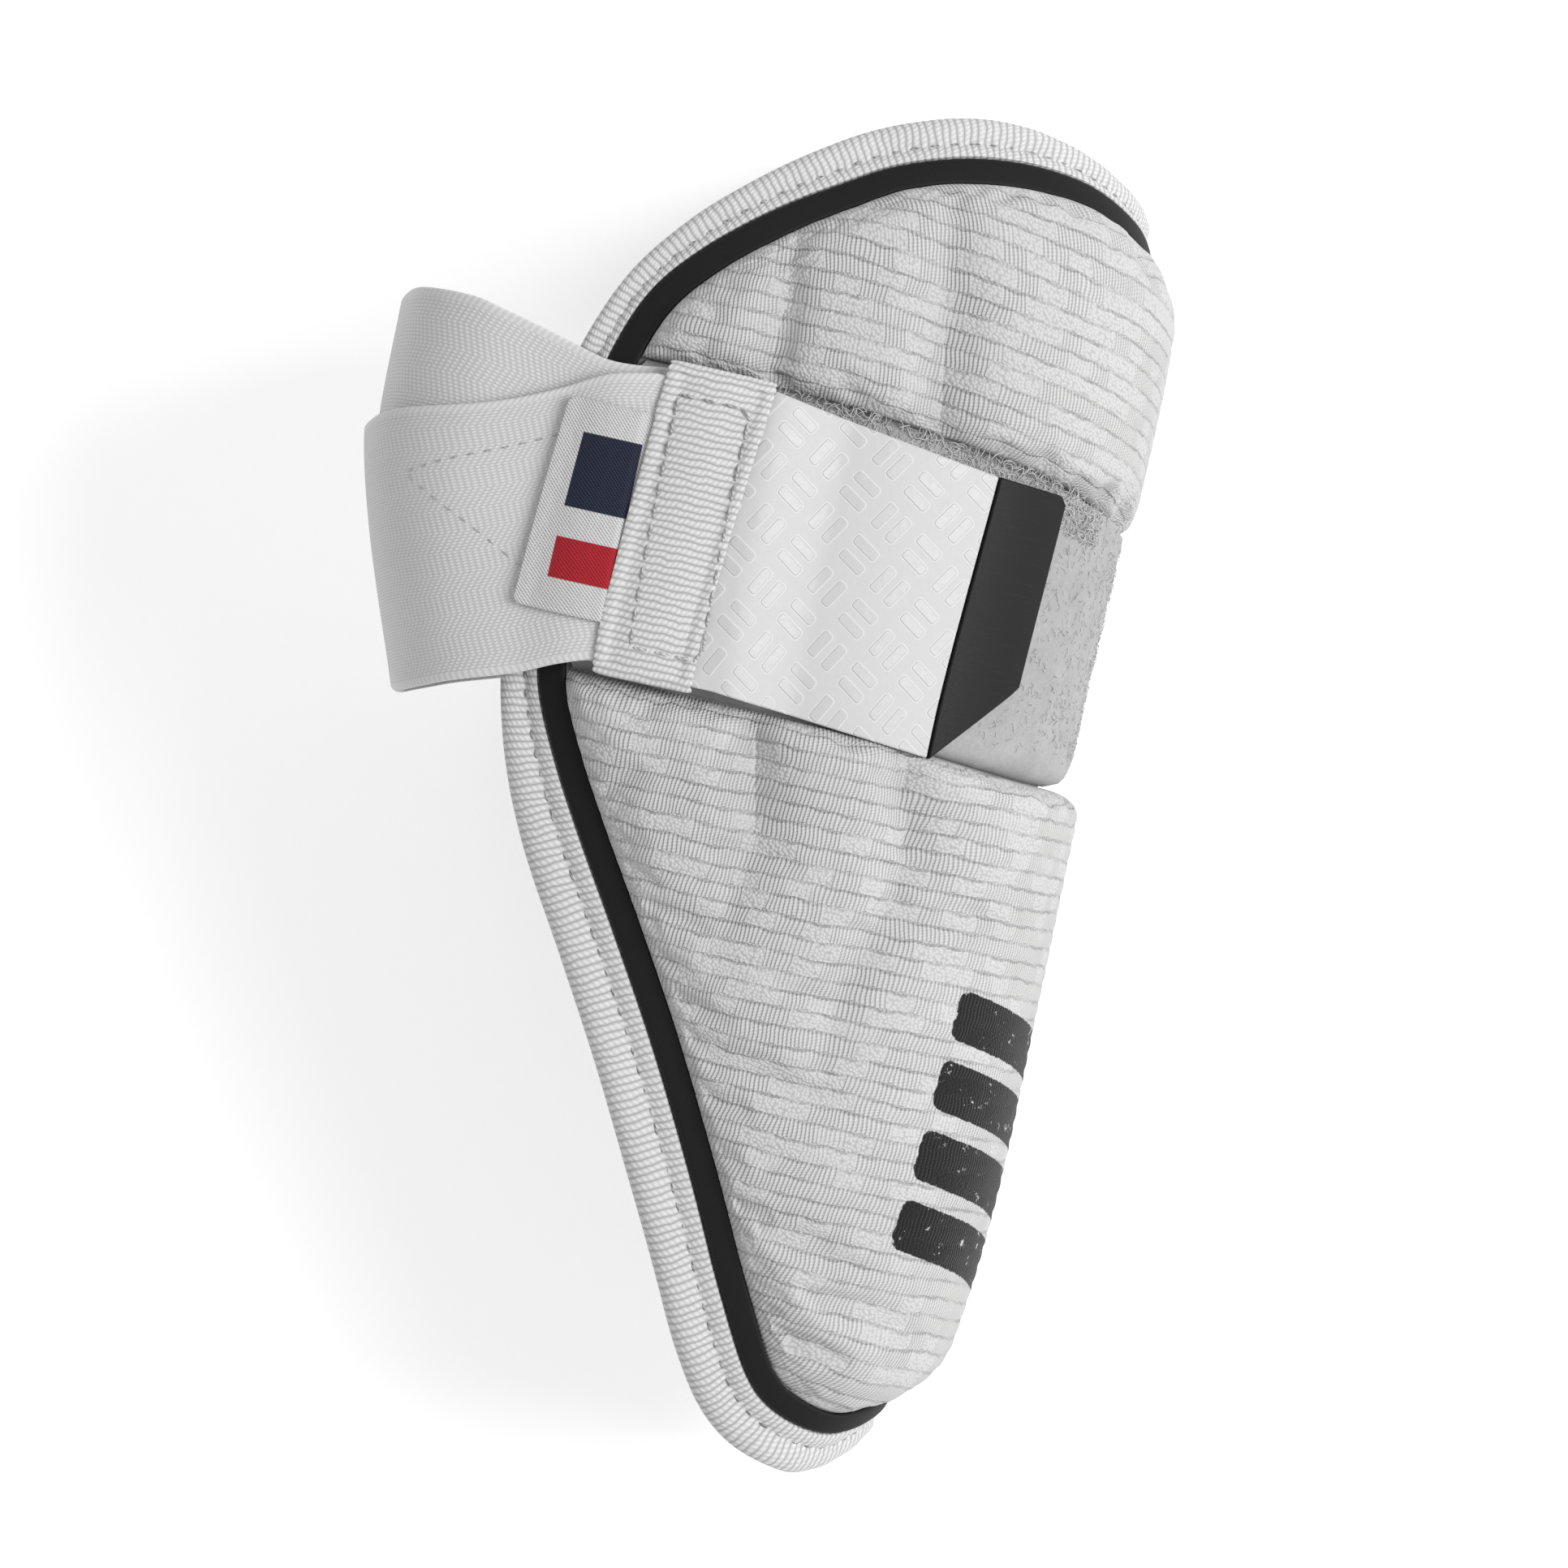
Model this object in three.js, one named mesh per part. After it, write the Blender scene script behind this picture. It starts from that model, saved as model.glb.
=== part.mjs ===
// A batting elbow guard: a padded half sleeve with bound edges, a black rim trim, two raised pads,
// a loop-pile channel between them and an elastic strap that closes with a moulded tab.
// Millimetres, +Z up. It lies on its right flank, the arm's axis near +Y and the ridge towards +X.
// The pieces are worked out in the arm's frame: x from the arm's centre out to the ridge,
// y along the arm from the narrow end to the wide end, z out of the left flank.
import * as THREE from "three";

// Overall sizes of the wrap
const guardLength = 227.4;
const ridgeReach = 57;
const wrapHalfWidth = 48.5;
const sectionPower = 2.7;

// Layers, measured outwards from the backing's outer face. facetRoom is what the flat facets of
// two curved skins need between them besides the seat.
const seat = 0.3;
const facetRoom = 0.7;
const padSeat = seat + facetRoom;
const rimSeat = seat + facetRoom * 0.8;
const backingThickness = 4;
const bindingWall = 0.9;
const trimWidth = 4.4;
const trimThickness = 1.3;
const widestMargin = 10.4;
const upperPadHeight = 7;
const lowerPadHeight = 7.4;
const upperRidgePadShare = 0.72;
const lowerRidgePadShare = 0.9;
const padEdgeHeight = 1.8;
const padShoulder = 8;
const grooveDepth = 2.6;
const loopFlankHeight = 2.4;
const loopRidgeHeight = 4.4;

// The strap channel, measured along the arm
const channelFoot = 8.2;
const channelRidgeTop = 51.2;
const channelFlankTop = 62.6;

// Strap, webbing, tab and label
const strapWidth = 50;
const strapThickness = 1.5;
const strapFoot = 11.9;
const plyGap = 0.6;
const webbingLength = 17.5;
const webbingWall = 0.9;
const tabThickness = 1.5;
const labelLength = 14.6;
const labelWidth = 34.9;
const labelFoot = 18.8;
const labelThickness = 1;
const anchorLength = 18;
const anchorRear = -23;
const innerEnd = -31;
const anchorWidth = 52.5;

// How it lies: the pads give a little where the right flank rests
const lieRoll = 14;
const liePitch = 1;
const restDent = 2;

const halfLength = guardLength / 2;
const degree = Math.PI / 180;

// Sections of the wrap. along is a share of the half length, ridge and centre are shares of
// ridgeReach, and width is a share of wrapHalfWidth.
const sections = [
  { along: -1.0, ridge: 0.72, centre: 0.5, width: 0.526 },
  { along: -0.941, ridge: 0.826, centre: 0.465, width: 0.59 },
  { along: -0.853, ridge: 0.888, centre: 0.412, width: 0.664 },
  { along: -0.748, ridge: 0.972, centre: 0.351, width: 0.726 },
  { along: -0.528, ridge: 1.018, centre: 0.246, width: 0.816 },
  { along: -0.264, ridge: 1.01, centre: 0.144, width: 0.899 },
  { along: 0.0, ridge: 1.0, centre: 0.061, width: 0.965 },
  { along: 0.176, ridge: 0.996, centre: 0.018, width: 0.994 },
  { along: 0.528, ridge: 0.996, centre: 0.0, width: 1.0 },
  { along: 0.756, ridge: 0.985, centre: 0.0, width: 0.969 },
  { along: 0.844, ridge: 0.946, centre: 0.026, width: 0.928 },
  { along: 0.923, ridge: 0.882, centre: 0.061, width: 0.872 },
  { along: 1.0, ridge: 0.754, centre: 0.105, width: 0.784 },
];

// The rim, from the ridge's wide end down the left flank to the ridge's narrow end. angle is
// round the arm from the ridge, in degrees, along is a share of the half length, and margin,
// from the rim to the trim, is a share of widestMargin.
const rim = [
  { angle: 0, along: 0.936, margin: 0.67 },
  { angle: 20, along: 0.955, margin: 0.65 },
  { angle: 40, along: 0.986, margin: 0.62 },
  { angle: 57, along: 1, margin: 0.6 },
  { angle: 71, along: 0.99, margin: 0.6 },
  { angle: 87.5, along: 0.946, margin: 0.64 },
  { angle: 97, along: 0.899, margin: 0.66 },
  { angle: 105, along: 0.844, margin: 0.6 },
  { angle: 114.3, along: 0.757, margin: 0.47 },
  { angle: 120.6, along: 0.682, margin: 0.46 },
  { angle: 124.6, along: 0.607, margin: 0.51 },
  { angle: 128.7, along: 0.484, margin: 0.58 },
  { angle: 129.9, along: 0.352, margin: 0.62 },
  { angle: 130.6, along: 0.176, margin: 0.66 },
  { angle: 131.6, along: 0.047, margin: 0.71 },
  { angle: 130.5, along: -0.07, margin: 0.9 },
  { angle: 127.3, along: -0.176, margin: 1 },
  { angle: 120.3, along: -0.317, margin: 1 },
  { angle: 112.9, along: -0.466, margin: 1 },
  { angle: 106.3, along: -0.616, margin: 1 },
  { angle: 100.6, along: -0.748, margin: 0.97 },
  { angle: 96.8, along: -0.844, margin: 0.96 },
  { angle: 92.5, along: -0.922, margin: 0.92 },
  { angle: 79, along: -0.967, margin: 0.83 },
  { angle: 55, along: -0.986, margin: 0.77 },
  { angle: 30, along: -0.97, margin: 0.7 },
  { angle: 0, along: -0.952, margin: 0.68 },
];
const wideCorner = 7;
const narrowCorner = 22;

// How far behind the arm's centre the strap runs. along is a share of the half length and
// reach a share of strapReach.
const strapReach = 62.8;
const strapHalfWidth = 47;
const strapPower = 4;
const strapBack = [
  { along: -0.2, reach: 0.64 },
  { along: -0.106, reach: 0.685 },
  { along: 0.0, reach: 0.757 },
  { along: 0.141, reach: 0.859 },
  { along: 0.237, reach: 0.923 },
  { along: 0.332, reach: 0.974 },
  { along: 0.4, reach: 0.993 },
  { along: 0.563, reach: 1.0 },
];

// How the outer ply slips down towards the back: strapFall at its upper edge and footFall at
// its lower one. angle is in degrees, and fall is a share of both.
const strapFall = 18;
const footFall = 12.5;
const strapSag = [
  { angle: 112, fall: 0 },
  { angle: 119, fall: 0.09 },
  { angle: 127, fall: 0.31 },
  { angle: 138, fall: 0.59 },
  { angle: 148, fall: 0.75 },
  { angle: 160, fall: 0.89 },
  { angle: 180, fall: 1.0 },
];

// The sewn grooves, on either side of the ridge. angle is in degrees and along a share of the
// half length. depth is a share of grooveDepth.
const frontGroove = [
  { along: -0.47, angle: 66, depth: 0 },
  { along: -0.29, angle: 62, depth: 0.45 },
  { along: -0.1, angle: 53, depth: 0.85 },
  { along: 0.062, angle: 55, depth: 1 },
  { along: 0.55, angle: 60.5, depth: 1 },
  { along: 0.72, angle: 63, depth: 0.7 },
  { along: 0.86, angle: 66.5, depth: 0.1 },
];
const rearGroove = [
  { along: -0.47, angle: 92, depth: 0 },
  { along: -0.29, angle: 88, depth: 0 },
  { along: -0.1, angle: 81.5, depth: 0.6 },
  { along: 0.062, angle: 82.5, depth: 1 },
  { along: 0.55, angle: 91, depth: 0.9 },
  { along: 0.72, angle: 92.5, depth: 0.5 },
  { along: 0.86, angle: 94, depth: 0 },
];

const clamp = (value, low, high) => Math.min(high, Math.max(low, value));
const mix = (from, to, share) => from + (to - from) * share;

// 0 below from, 1 above to, and smooth between them. from may be the larger.
function ease(from, to, value) {
  const share = clamp((value - from) / (to - from), 0, 1);
  return share * share * (3 - 2 * share);
}

// A smooth curve through one column of a table whose rows are in the order of key. Past its
// ends it goes on along the end's slope.
function read(table, key, column, at) {
  const last = table.length - 1;
  const slope = (i) => {
    const a = table[Math.max(i - 1, 0)];
    const b = table[Math.min(i + 1, last)];
    return (b[column] - a[column]) / (b[key] - a[key]);
  };
  if (at <= table[0][key]) return table[0][column] + slope(0) * (at - table[0][key]);
  if (at >= table[last][key]) return table[last][column] + slope(last) * (at - table[last][key]);
  const i = table.findIndex((row) => row[key] > at) - 1;
  const a = table[i];
  const b = table[i + 1];
  const span = b[key] - a[key];
  const t = (at - a[key]) / span;
  const rise = t * t * (3 - 2 * t);
  const bendA = t * (1 - t) * (1 - t) * span * slope(i);
  const bendB = t * t * (t - 1) * span * slope(i + 1);
  return mix(a[column], b[column], rise) + bendA + bendB;
}

const centreAt = (y) => ridgeReach * read(sections, "along", "centre", y / halfLength);
const ridgeAt = (y) => ridgeReach * read(sections, "along", "ridge", y / halfLength);
const widthAt = (y) => wrapHalfWidth * read(sections, "along", "width", y / halfLength);

// The radius of a rounded box section in one direction.
function boxRadius(angle, reach, width, power) {
  const across = Math.abs(Math.cos(angle)) / reach;
  const side = Math.abs(Math.sin(angle)) / width;
  return (across ** power + side ** power) ** (-1 / power);
}

// A point on the backing's outer face, by the angle round the arm in degrees.
function facePoint(angle, y) {
  const centre = centreAt(y);
  const turn = angle * degree;
  const radius = boxRadius(turn, ridgeAt(y) - centre, widthAt(y), sectionPower);
  return new THREE.Vector3(centre + radius * Math.cos(turn), y, radius * Math.sin(turn));
}

// A point at a height above any surface that is given as a function of angle and y.
function above(surface, angle, y, height) {
  const step = 0.05;
  const round = surface(angle + step, y).sub(surface(angle - step, y));
  const along = surface(angle, y + step).sub(surface(angle, y - step));
  const normal = along.cross(round).normalize();
  return surface(angle, y).addScaledVector(normal, height);
}

const onFace = (angle, y, height) => above(facePoint, angle, y, height);

// The rim as a closed curve of angle and y, and the margin along it.
const mirrored = rim
  .slice(1, -1)
  .reverse()
  .map((row) => ({ ...row, angle: -row.angle }));
const wholeRim = [...rim, ...mirrored];
const rimPoint = (row) => new THREE.Vector3(row.angle, row.along * halfLength, row.margin * widestMargin);
const rimCurve = new THREE.CatmullRomCurve3(wholeRim.map(rimPoint), true);
const rowShare = (row) => row / wholeRim.length;
const wrapShare = (share) => share - Math.floor(share);

// A point at a distance inwards from the rim, as an angle and y on the face.
function insetPoint(share, inset) {
  const step = 0.002;
  const here = rimCurve.getPoint(wrapShare(share));
  const before = rimCurve.getPoint(wrapShare(share - step));
  const after = rimCurve.getPoint(wrapShare(share + step));
  const edge = facePoint(here.x, here.y);
  const tangent = facePoint(after.x, after.y).sub(facePoint(before.x, before.y)).normalize();
  const normal = onFace(here.x, here.y, 1).sub(edge);
  const inwards = normal.cross(tangent).normalize();
  const moved = edge.addScaledVector(inwards, inset);
  const angle = Math.atan2(moved.z, moved.x - centreAt(moved.y)) / degree;
  return { angle, y: moved.y };
}

const marginAt = (share) => rimCurve.getPoint(wrapShare(share)).z;
const trimInner = (share) => marginAt(share) + trimWidth;
const padEdge = (share) => trimInner(share) + padSeat;

// The share along the left rim where a line inside it reaches a height y.
function crossing(insetOf, y) {
  let wide = rowShare(wideCorner);
  let narrow = rowShare(narrowCorner);
  for (let i = 0; i < 40; i += 1) {
    const middle = (wide + narrow) / 2;
    if (insetPoint(middle, insetOf(middle)).y > y) wide = middle;
    else narrow = middle;
  }
  return (wide + narrow) / 2;
}

// A closed solid from a grid of columns and rows. cell(i, j, outer) gives a point of the outer
// or the inner skin, and the four sides are walled.
function slab(columns, rows, cell) {
  const positions = [];
  const index = [];
  const number = (i, j, outer) => (outer ? 0 : (columns + 1) * (rows + 1)) + j * (columns + 1) + i;
  for (const outer of [true, false]) {
    for (let j = 0; j <= rows; j += 1) {
      for (let i = 0; i <= columns; i += 1) positions.push(...cell(i, j, outer).toArray());
    }
  }
  const quad = (a, b, c, d) => index.push(a, b, c, a, c, d);
  for (let j = 0; j < rows; j += 1) {
    for (let i = 0; i < columns; i += 1) {
      const cellCorners = [[i, j], [i + 1, j], [i + 1, j + 1], [i, j + 1]];
      quad(...cellCorners.map((at) => number(...at, true)));
      quad(...cellCorners.reverse().map((at) => number(...at, false)));
    }
  }
  const wall = (a, b) =>
    quad(number(...a, true), number(...a, false), number(...b, false), number(...b, true));
  for (let i = 0; i < columns; i += 1) {
    wall([i, 0], [i + 1, 0]);
    wall([i + 1, rows], [i, rows]);
  }
  for (let j = 0; j < rows; j += 1) {
    wall([columns, j], [columns, j + 1]);
    wall([0, j + 1], [0, j]);
  }
  return closedGeometry(positions, index);
}

// A ring of one section swept round the whole rim. corner(share, k) gives a point.
function rimRing(steps, corners, corner) {
  const positions = [];
  const index = [];
  for (let i = 0; i < steps; i += 1) {
    for (let k = 0; k < corners; k += 1) positions.push(...corner(i / steps, k).toArray());
  }
  const number = (i, k) => (i % steps) * corners + (k % corners);
  for (let i = 0; i < steps; i += 1) {
    for (let k = 0; k < corners; k += 1) {
      index.push(number(i, k), number(i + 1, k), number(i + 1, k + 1));
      index.push(number(i, k), number(i + 1, k + 1), number(i, k + 1));
    }
  }
  return closedGeometry(positions, index);
}

function closedGeometry(positions, index) {
  const geometry = new THREE.BufferGeometry();
  geometry.setAttribute("position", new THREE.Float32BufferAttribute(positions, 3));
  geometry.setIndex(volumeOf(positions, index) < 0 ? index.reverse() : index);
  geometry.computeVertexNormals();
  return geometry;
}

function volumeOf(positions, index) {
  const corner = (i) => new THREE.Vector3().fromArray(positions, 3 * i);
  let sum = 0;
  for (let t = 0; t < index.length; t += 3) {
    sum += corner(index[t]).dot(corner(index[t + 1]).cross(corner(index[t + 2])));
  }
  return sum / 6;
}

// A patch of the face between four border lines, each a function of a share from 0 to 1.
// Its middle line lies on the ridge, and only its left half is worked out: the rest mirrors it.
function halfPatch({ foot, top, ridge, flank }) {
  return (side, rise) => {
    const s = Math.abs(side);
    const blend = (pick) =>
      mix(pick(foot(s)), pick(top(s)), rise) +
      mix(pick(ridge(rise)), pick(flank(rise)), s) -
      mix(mix(pick(foot(0)), pick(foot(1)), s), mix(pick(top(0)), pick(top(1)), s), rise);
    const angle = blend((point) => point.angle);
    return { angle: Math.sign(side) * angle, y: blend((point) => point.y) };
  };
}

// A line along the rim, inside it, between two shares of it.
const rimLine = (insetOf, from, to) => (share) => {
  const at = mix(from, to, share);
  return insetPoint(at, insetOf(at));
};

// The edges of the strap channel.
const channelTop = (angle) =>
  mix(channelRidgeTop, channelFlankTop, Math.abs(angle) > 90 ? 1 : Math.sin(Math.abs(angle) * degree));

// A line of a table's width and height across the ridge.
const ridgeLine = (from, to) => (share) => ({ angle: 0, y: mix(from.y, to.y, share) });

// The outer corner of a pad where the channel's edge meets the pad's border.
const upperCorner = crossing(padEdge, channelFlankTop);
const lowerCorner = crossing(padEdge, channelFoot);
const channelLine = (edgeOf, corner) => (share) => {
  const angle = corner.angle * share;
  return { angle, y: edgeOf(angle) };
};

const upperFoot = channelLine(channelTop, insetPoint(upperCorner, padEdge(upperCorner)));
const upperTop = rimLine(padEdge, 0, rowShare(wideCorner));
const upperPatch = halfPatch({
  foot: upperFoot,
  top: upperTop,
  ridge: ridgeLine(upperFoot(0), upperTop(0)),
  flank: rimLine(padEdge, upperCorner, rowShare(wideCorner)),
});

const lowerTop = channelLine(() => channelFoot, insetPoint(lowerCorner, padEdge(lowerCorner)));
const lowerFoot = rimLine(padEdge, rowShare(rim.length - 1), rowShare(narrowCorner));
const lowerPatch = halfPatch({
  foot: lowerFoot,
  top: lowerTop,
  ridge: ridgeLine(lowerFoot(0), lowerTop(0)),
  flank: rimLine(padEdge, rowShare(narrowCorner), lowerCorner),
});

// The plane that the guard rests on, as its normal in the arm's frame, and how far out it lies.
const lieTurn = new THREE.Matrix4()
  .makeRotationX(liePitch * degree)
  .multiply(new THREE.Matrix4().makeRotationY(lieRoll * degree));
const down = new THREE.Vector3(0, 0, -1).applyMatrix4(lieTurn.clone().invert());

// Presses a point that lies past the resting plane back on to it.
function pressed(point, floor) {
  const past = point.dot(down) - floor;
  return past > 0 ? point.addScaledVector(down, -past) : point;
}

// The groove's share of depth at a place on a pad.
function grooveAt(angle, y) {
  const along = y / halfLength;
  const halfAngle = 5.5;
  return [frontGroove, rearGroove].reduce((most, groove) => {
    const off = Math.abs(Math.abs(angle) - read(groove, "along", "angle", along)) / halfAngle;
    const depth = clamp(read(groove, "along", "depth", along), 0, 1);
    return Math.max(most, depth * Math.max(0, 1 - off) ** 1.2);
  }, 0);
}

// How high a pad stands, with its shoulders rounded towards its border. toEdge is the distance
// to the border.
function padHeight(angle, y, toEdge, full, ridgeShare) {
  const height = full * mix(ridgeShare, 1, ease(15, 60, Math.abs(angle)));
  const shoulder = clamp(1 - toEdge / padShoulder, 0, 1);
  const round = Math.sqrt(1 - shoulder * shoulder);
  return mix(padEdgeHeight, height - grooveDepth * grooveAt(angle, y), round);
}

// Where the grid lines of a pad lie: close at its border and its grooves, wide between them.
const sideStations = [
  0, 0.07, 0.14, 0.2, 0.26, 0.32, 0.38, 0.44, 0.5, 0.58, 0.65, 0.71, 0.77, 0.85, 0.91, 0.96, 1,
];
const grooveStations = { front: 0.44, rear: 0.71 };

// Moves a share across a pad so that two grid lines follow the two grooves.
function followGrooves(share, edgeAngle, y) {
  const along = y / halfLength;
  const front = clamp(read(frontGroove, "along", "angle", along) / edgeAngle, 0.1, 0.72);
  const rear = clamp(read(rearGroove, "along", "angle", along) / edgeAngle, front + 0.1, 0.88);
  const { front: a, rear: b } = grooveStations;
  if (share < a) return (share / a) * front;
  if (share < b) return mix(front, rear, (share - a) / (b - a));
  return mix(rear, 1, (share - b) / (1 - b));
}

// The distance from a point of the face to a patch's border.
function borderDistance(patch) {
  const steps = 24;
  const shares = Array.from({ length: steps + 1 }, (_, i) => i / steps);
  const borders = [
    shares.map((rise) => patch(1, rise)),
    shares.map((rise) => patch(-1, rise)),
    shares.map((share) => patch(2 * share - 1, 0)),
    shares.map((share) => patch(2 * share - 1, 1)),
  ].map((border) => border.map((place) => facePoint(place.angle, place.y)));
  const linesOf = (border) => border.slice(1).map((end, i) => new THREE.Line3(border[i], end));
  const lines = borders.flatMap(linesOf);
  const nearest = new THREE.Vector3();
  return (point) => {
    const toLine = (line) => line.closestPointToPoint(point, true, nearest).distanceTo(point);
    return Math.min(...lines.map(toLine));
  };
}

// A raised pad on one patch.
function padGeometry({ patch, riseStations, full, ridgeShare, floor }) {
  const sides = [...sideStations.slice(1).reverse().map((share) => -share), ...sideStations];
  const columns = sides.length - 1;
  const rows = riseStations.length - 1;
  const toBorder = borderDistance(patch);
  return slab(columns, rows, (i, j, outer) => {
    const edge = patch(1, riseStations[j]);
    const side = sides[i];
    const share = followGrooves(Math.abs(side), edge.angle, edge.y);
    const place = patch(Math.sign(side) * share, riseStations[j]);
    if (!outer) return onFace(place.angle, place.y, padSeat);
    const onBorder = i === 0 || i === columns || j === 0 || j === rows;
    const toEdge = onBorder ? 0 : toBorder(facePoint(place.angle, place.y));
    const height = padHeight(place.angle, place.y, toEdge, full, ridgeShare);
    return pressed(onFace(place.angle, place.y, height), floor);
  });
}

// The farthest that a pad's crown reaches towards the floor, found on its patch.
function crownReach(patch, full) {
  let most = 0;
  for (let side = 0.1; side <= 0.9; side += 0.02) {
    for (let rise = 0.1; rise <= 0.9; rise += 0.05) {
      const place = patch(-side, rise);
      most = Math.max(most, onFace(place.angle, place.y, full).dot(down));
    }
  }
  return most;
}

const restingFloor =
  Math.min(crownReach(upperPatch, upperPadHeight), crownReach(lowerPatch, lowerPadHeight)) - restDent;

const upperRises = [0, 0.06, 0.14, 0.26, 0.4, 0.53, 0.65, 0.76, 0.86, 0.94, 1];
const lowerRises = [0, 0.03, 0.07, 0.14, 0.23, 0.32, 0.41, 0.5, 0.59, 0.68, 0.77, 0.86, 0.93, 0.97, 1];

const upperPad = () =>
  padGeometry({
    patch: upperPatch,
    riseStations: upperRises,
    full: upperPadHeight,
    ridgeShare: upperRidgePadShare,
    floor: restingFloor,
  });

const lowerPad = () =>
  padGeometry({
    patch: lowerPatch,
    riseStations: lowerRises,
    full: lowerPadHeight,
    ridgeShare: lowerRidgePadShare,
    floor: restingFloor,
  });

// The backing: one curved sheet that ends inside the binding's fold.
function backing() {
  const edge = () => bindingWall + padSeat;
  const top = rimLine(edge, 0, rowShare(wideCorner));
  const foot = rimLine(edge, rowShare(rim.length - 1), rowShare(narrowCorner));
  const flank = rimLine(edge, rowShare(narrowCorner), rowShare(wideCorner));
  const patch = halfPatch({ foot, top, ridge: ridgeLine(foot(0), top(0)), flank });
  const columns = 26;
  const rows = 22;
  return slab(columns, rows, (i, j, outer) => {
    const place = patch((2 * i) / columns - 1, j / rows);
    return onFace(place.angle, place.y, outer ? 0 : -backingThickness);
  });
}

const ringSteps = 92;

// The binding: tape folded round the backing's edge, as a C in section. Each corner is an
// inset from the rim, as a share of the tape's width, and a height.
function edgeBinding() {
  const outside = rimSeat + bindingWall;
  const inside = -backingThickness - rimSeat;
  const outermost = inside - bindingWall;
  const corners = [
    { width: 1, inset: 0, height: rimSeat },
    { width: 1, inset: 0, height: outside },
    { width: 0, inset: bindingWall, height: outside },
    { width: 0, inset: 0, height: -backingThickness / 2 },
    { width: 0, inset: bindingWall, height: outermost },
    { width: 0.8, inset: 0, height: outermost },
    { width: 0.8, inset: 0, height: inside },
    { width: 0, inset: bindingWall, height: inside },
    { width: 0, inset: bindingWall, height: rimSeat },
  ];
  return rimRing(ringSteps, corners.length, (share, k) => {
    const corner = corners[k];
    const place = insetPoint(share, corner.width * (marginAt(share) - seat) + corner.inset);
    return onFace(place.angle, place.y, corner.height);
  });
}

// The black trim: a low rounded strip between the binding and the pads.
function rimTrim() {
  const top = rimSeat + trimThickness;
  const corners = [
    { across: 0, height: rimSeat },
    { across: 0.1, height: top },
    { across: 0.9, height: top },
    { across: 1, height: rimSeat },
  ];
  return rimRing(ringSteps, corners.length, (share, k) => {
    const place = insetPoint(share, marginAt(share) + corners[k].across * trimWidth);
    return onFace(place.angle, place.y, corners[k].height);
  });
}

const loopHeight = (angle) => mix(loopRidgeHeight, loopFlankHeight, ease(15, 60, Math.abs(angle)));

// The loop pile that fills the channel from trim to trim.
function loopPanel() {
  const lowShare = crossing(padEdge, channelFoot + seat);
  const topShare = crossing(padEdge, channelFlankTop - seat);
  const foot = channelLine(() => channelFoot + seat, insetPoint(lowShare, padEdge(lowShare)));
  const top = channelLine((angle) => channelTop(angle) - seat, insetPoint(topShare, padEdge(topShare)));
  const flank = rimLine(padEdge, lowShare, topShare);
  const patch = halfPatch({ foot, top, ridge: ridgeLine(foot(0), top(0)), flank });
  const columns = 30;
  const rows = 5;
  return slab(columns, rows, (i, j, outer) => {
    const place = patch((2 * i) / columns - 1, j / rows);
    return onFace(place.angle, place.y, outer ? loopHeight(place.angle) : seat);
  });
}

// The inner face of the strap: on the guard it lies over the loop pile and the trim, and behind
// the arm it runs in a squarer loop that narrows downwards.
const strapLift = loopFlankHeight + seat;
function strapPoint(angle, y) {
  const turn = angle * degree;
  const reach = strapReach * read(strapBack, "along", "reach", y / halfLength);
  const radius = boxRadius(turn, reach, strapHalfWidth, strapPower);
  const free = new THREE.Vector3(radius * Math.cos(turn), y, radius * Math.sin(turn));
  const held = onFace(angle, y, strapLift);
  const away = Math.abs(((angle + 360) % 360) - 180);
  return held.lerp(free, ease(62, 40, away));
}

const onStrap = (angle, y, height) => above(strapPoint, angle, y, height);

// The share by which the outer ply has slipped down at an angle, on either side of the back.
const sagAt = (angle) => {
  const away = 180 - Math.abs(180 - angle);
  return away < strapSag[0].angle ? 0 : read(strapSag, "angle", "fall", away);
};

// The angle on the left flank at a distance from the arm's centre, towards the ridge.
const flankAngle = (x) => Math.atan2(wrapHalfWidth, x) / degree;

// The outer ply lies over the inner one, and rises into the webbing sleeve at the left flank.
// On the right flank it comes down past the inner ply's end.
const outerPly = strapThickness + plyGap;
const sleeveFloor = outerPly + webbingWall + seat;
const innerEndAngle = 360 - flankAngle(innerEnd);
const anchorRearAngle = 360 - flankAngle(anchorRear);
const anchorFrontAngle = 360 - flankAngle(anchorRear + anchorLength);
function plyLift(angle) {
  const left = mix(outerPly, sleeveFloor, ease(127, 116, angle));
  return left * ease(anchorRearAngle - 1, innerEndAngle + 1, angle);
}

const webbingFront = -1;
const webbingRear = webbingFront - webbingLength;
const webbingFrontAngle = flankAngle(webbingFront);
const webbingRearAngle = flankAngle(webbingRear);
const webbingMiddleAngle = (webbingFrontAngle + webbingRearAngle) / 2;

// One ply of elastic round the back of the arm.
function strapPly({ from, to, lift, sag }) {
  const columns = 40;
  const rows = 4;
  return slab(columns, rows, (i, j, outer) => {
    const angle = mix(from, to, i / columns);
    const y = strapFoot + (strapWidth * j) / rows - sag(angle) * mix(footFall, strapFall, j / rows);
    return onStrap(angle, y, lift(angle) + (outer ? strapThickness : 0));
  });
}

function strapInner() {
  return strapPly({ from: webbingMiddleAngle, to: innerEndAngle, lift: () => 0, sag: () => 0 });
}

function strapOuter() {
  return strapPly({ from: webbingMiddleAngle + 0.5, to: anchorFrontAngle - 3, lift: plyLift, sag: sagAt });
}

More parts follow.
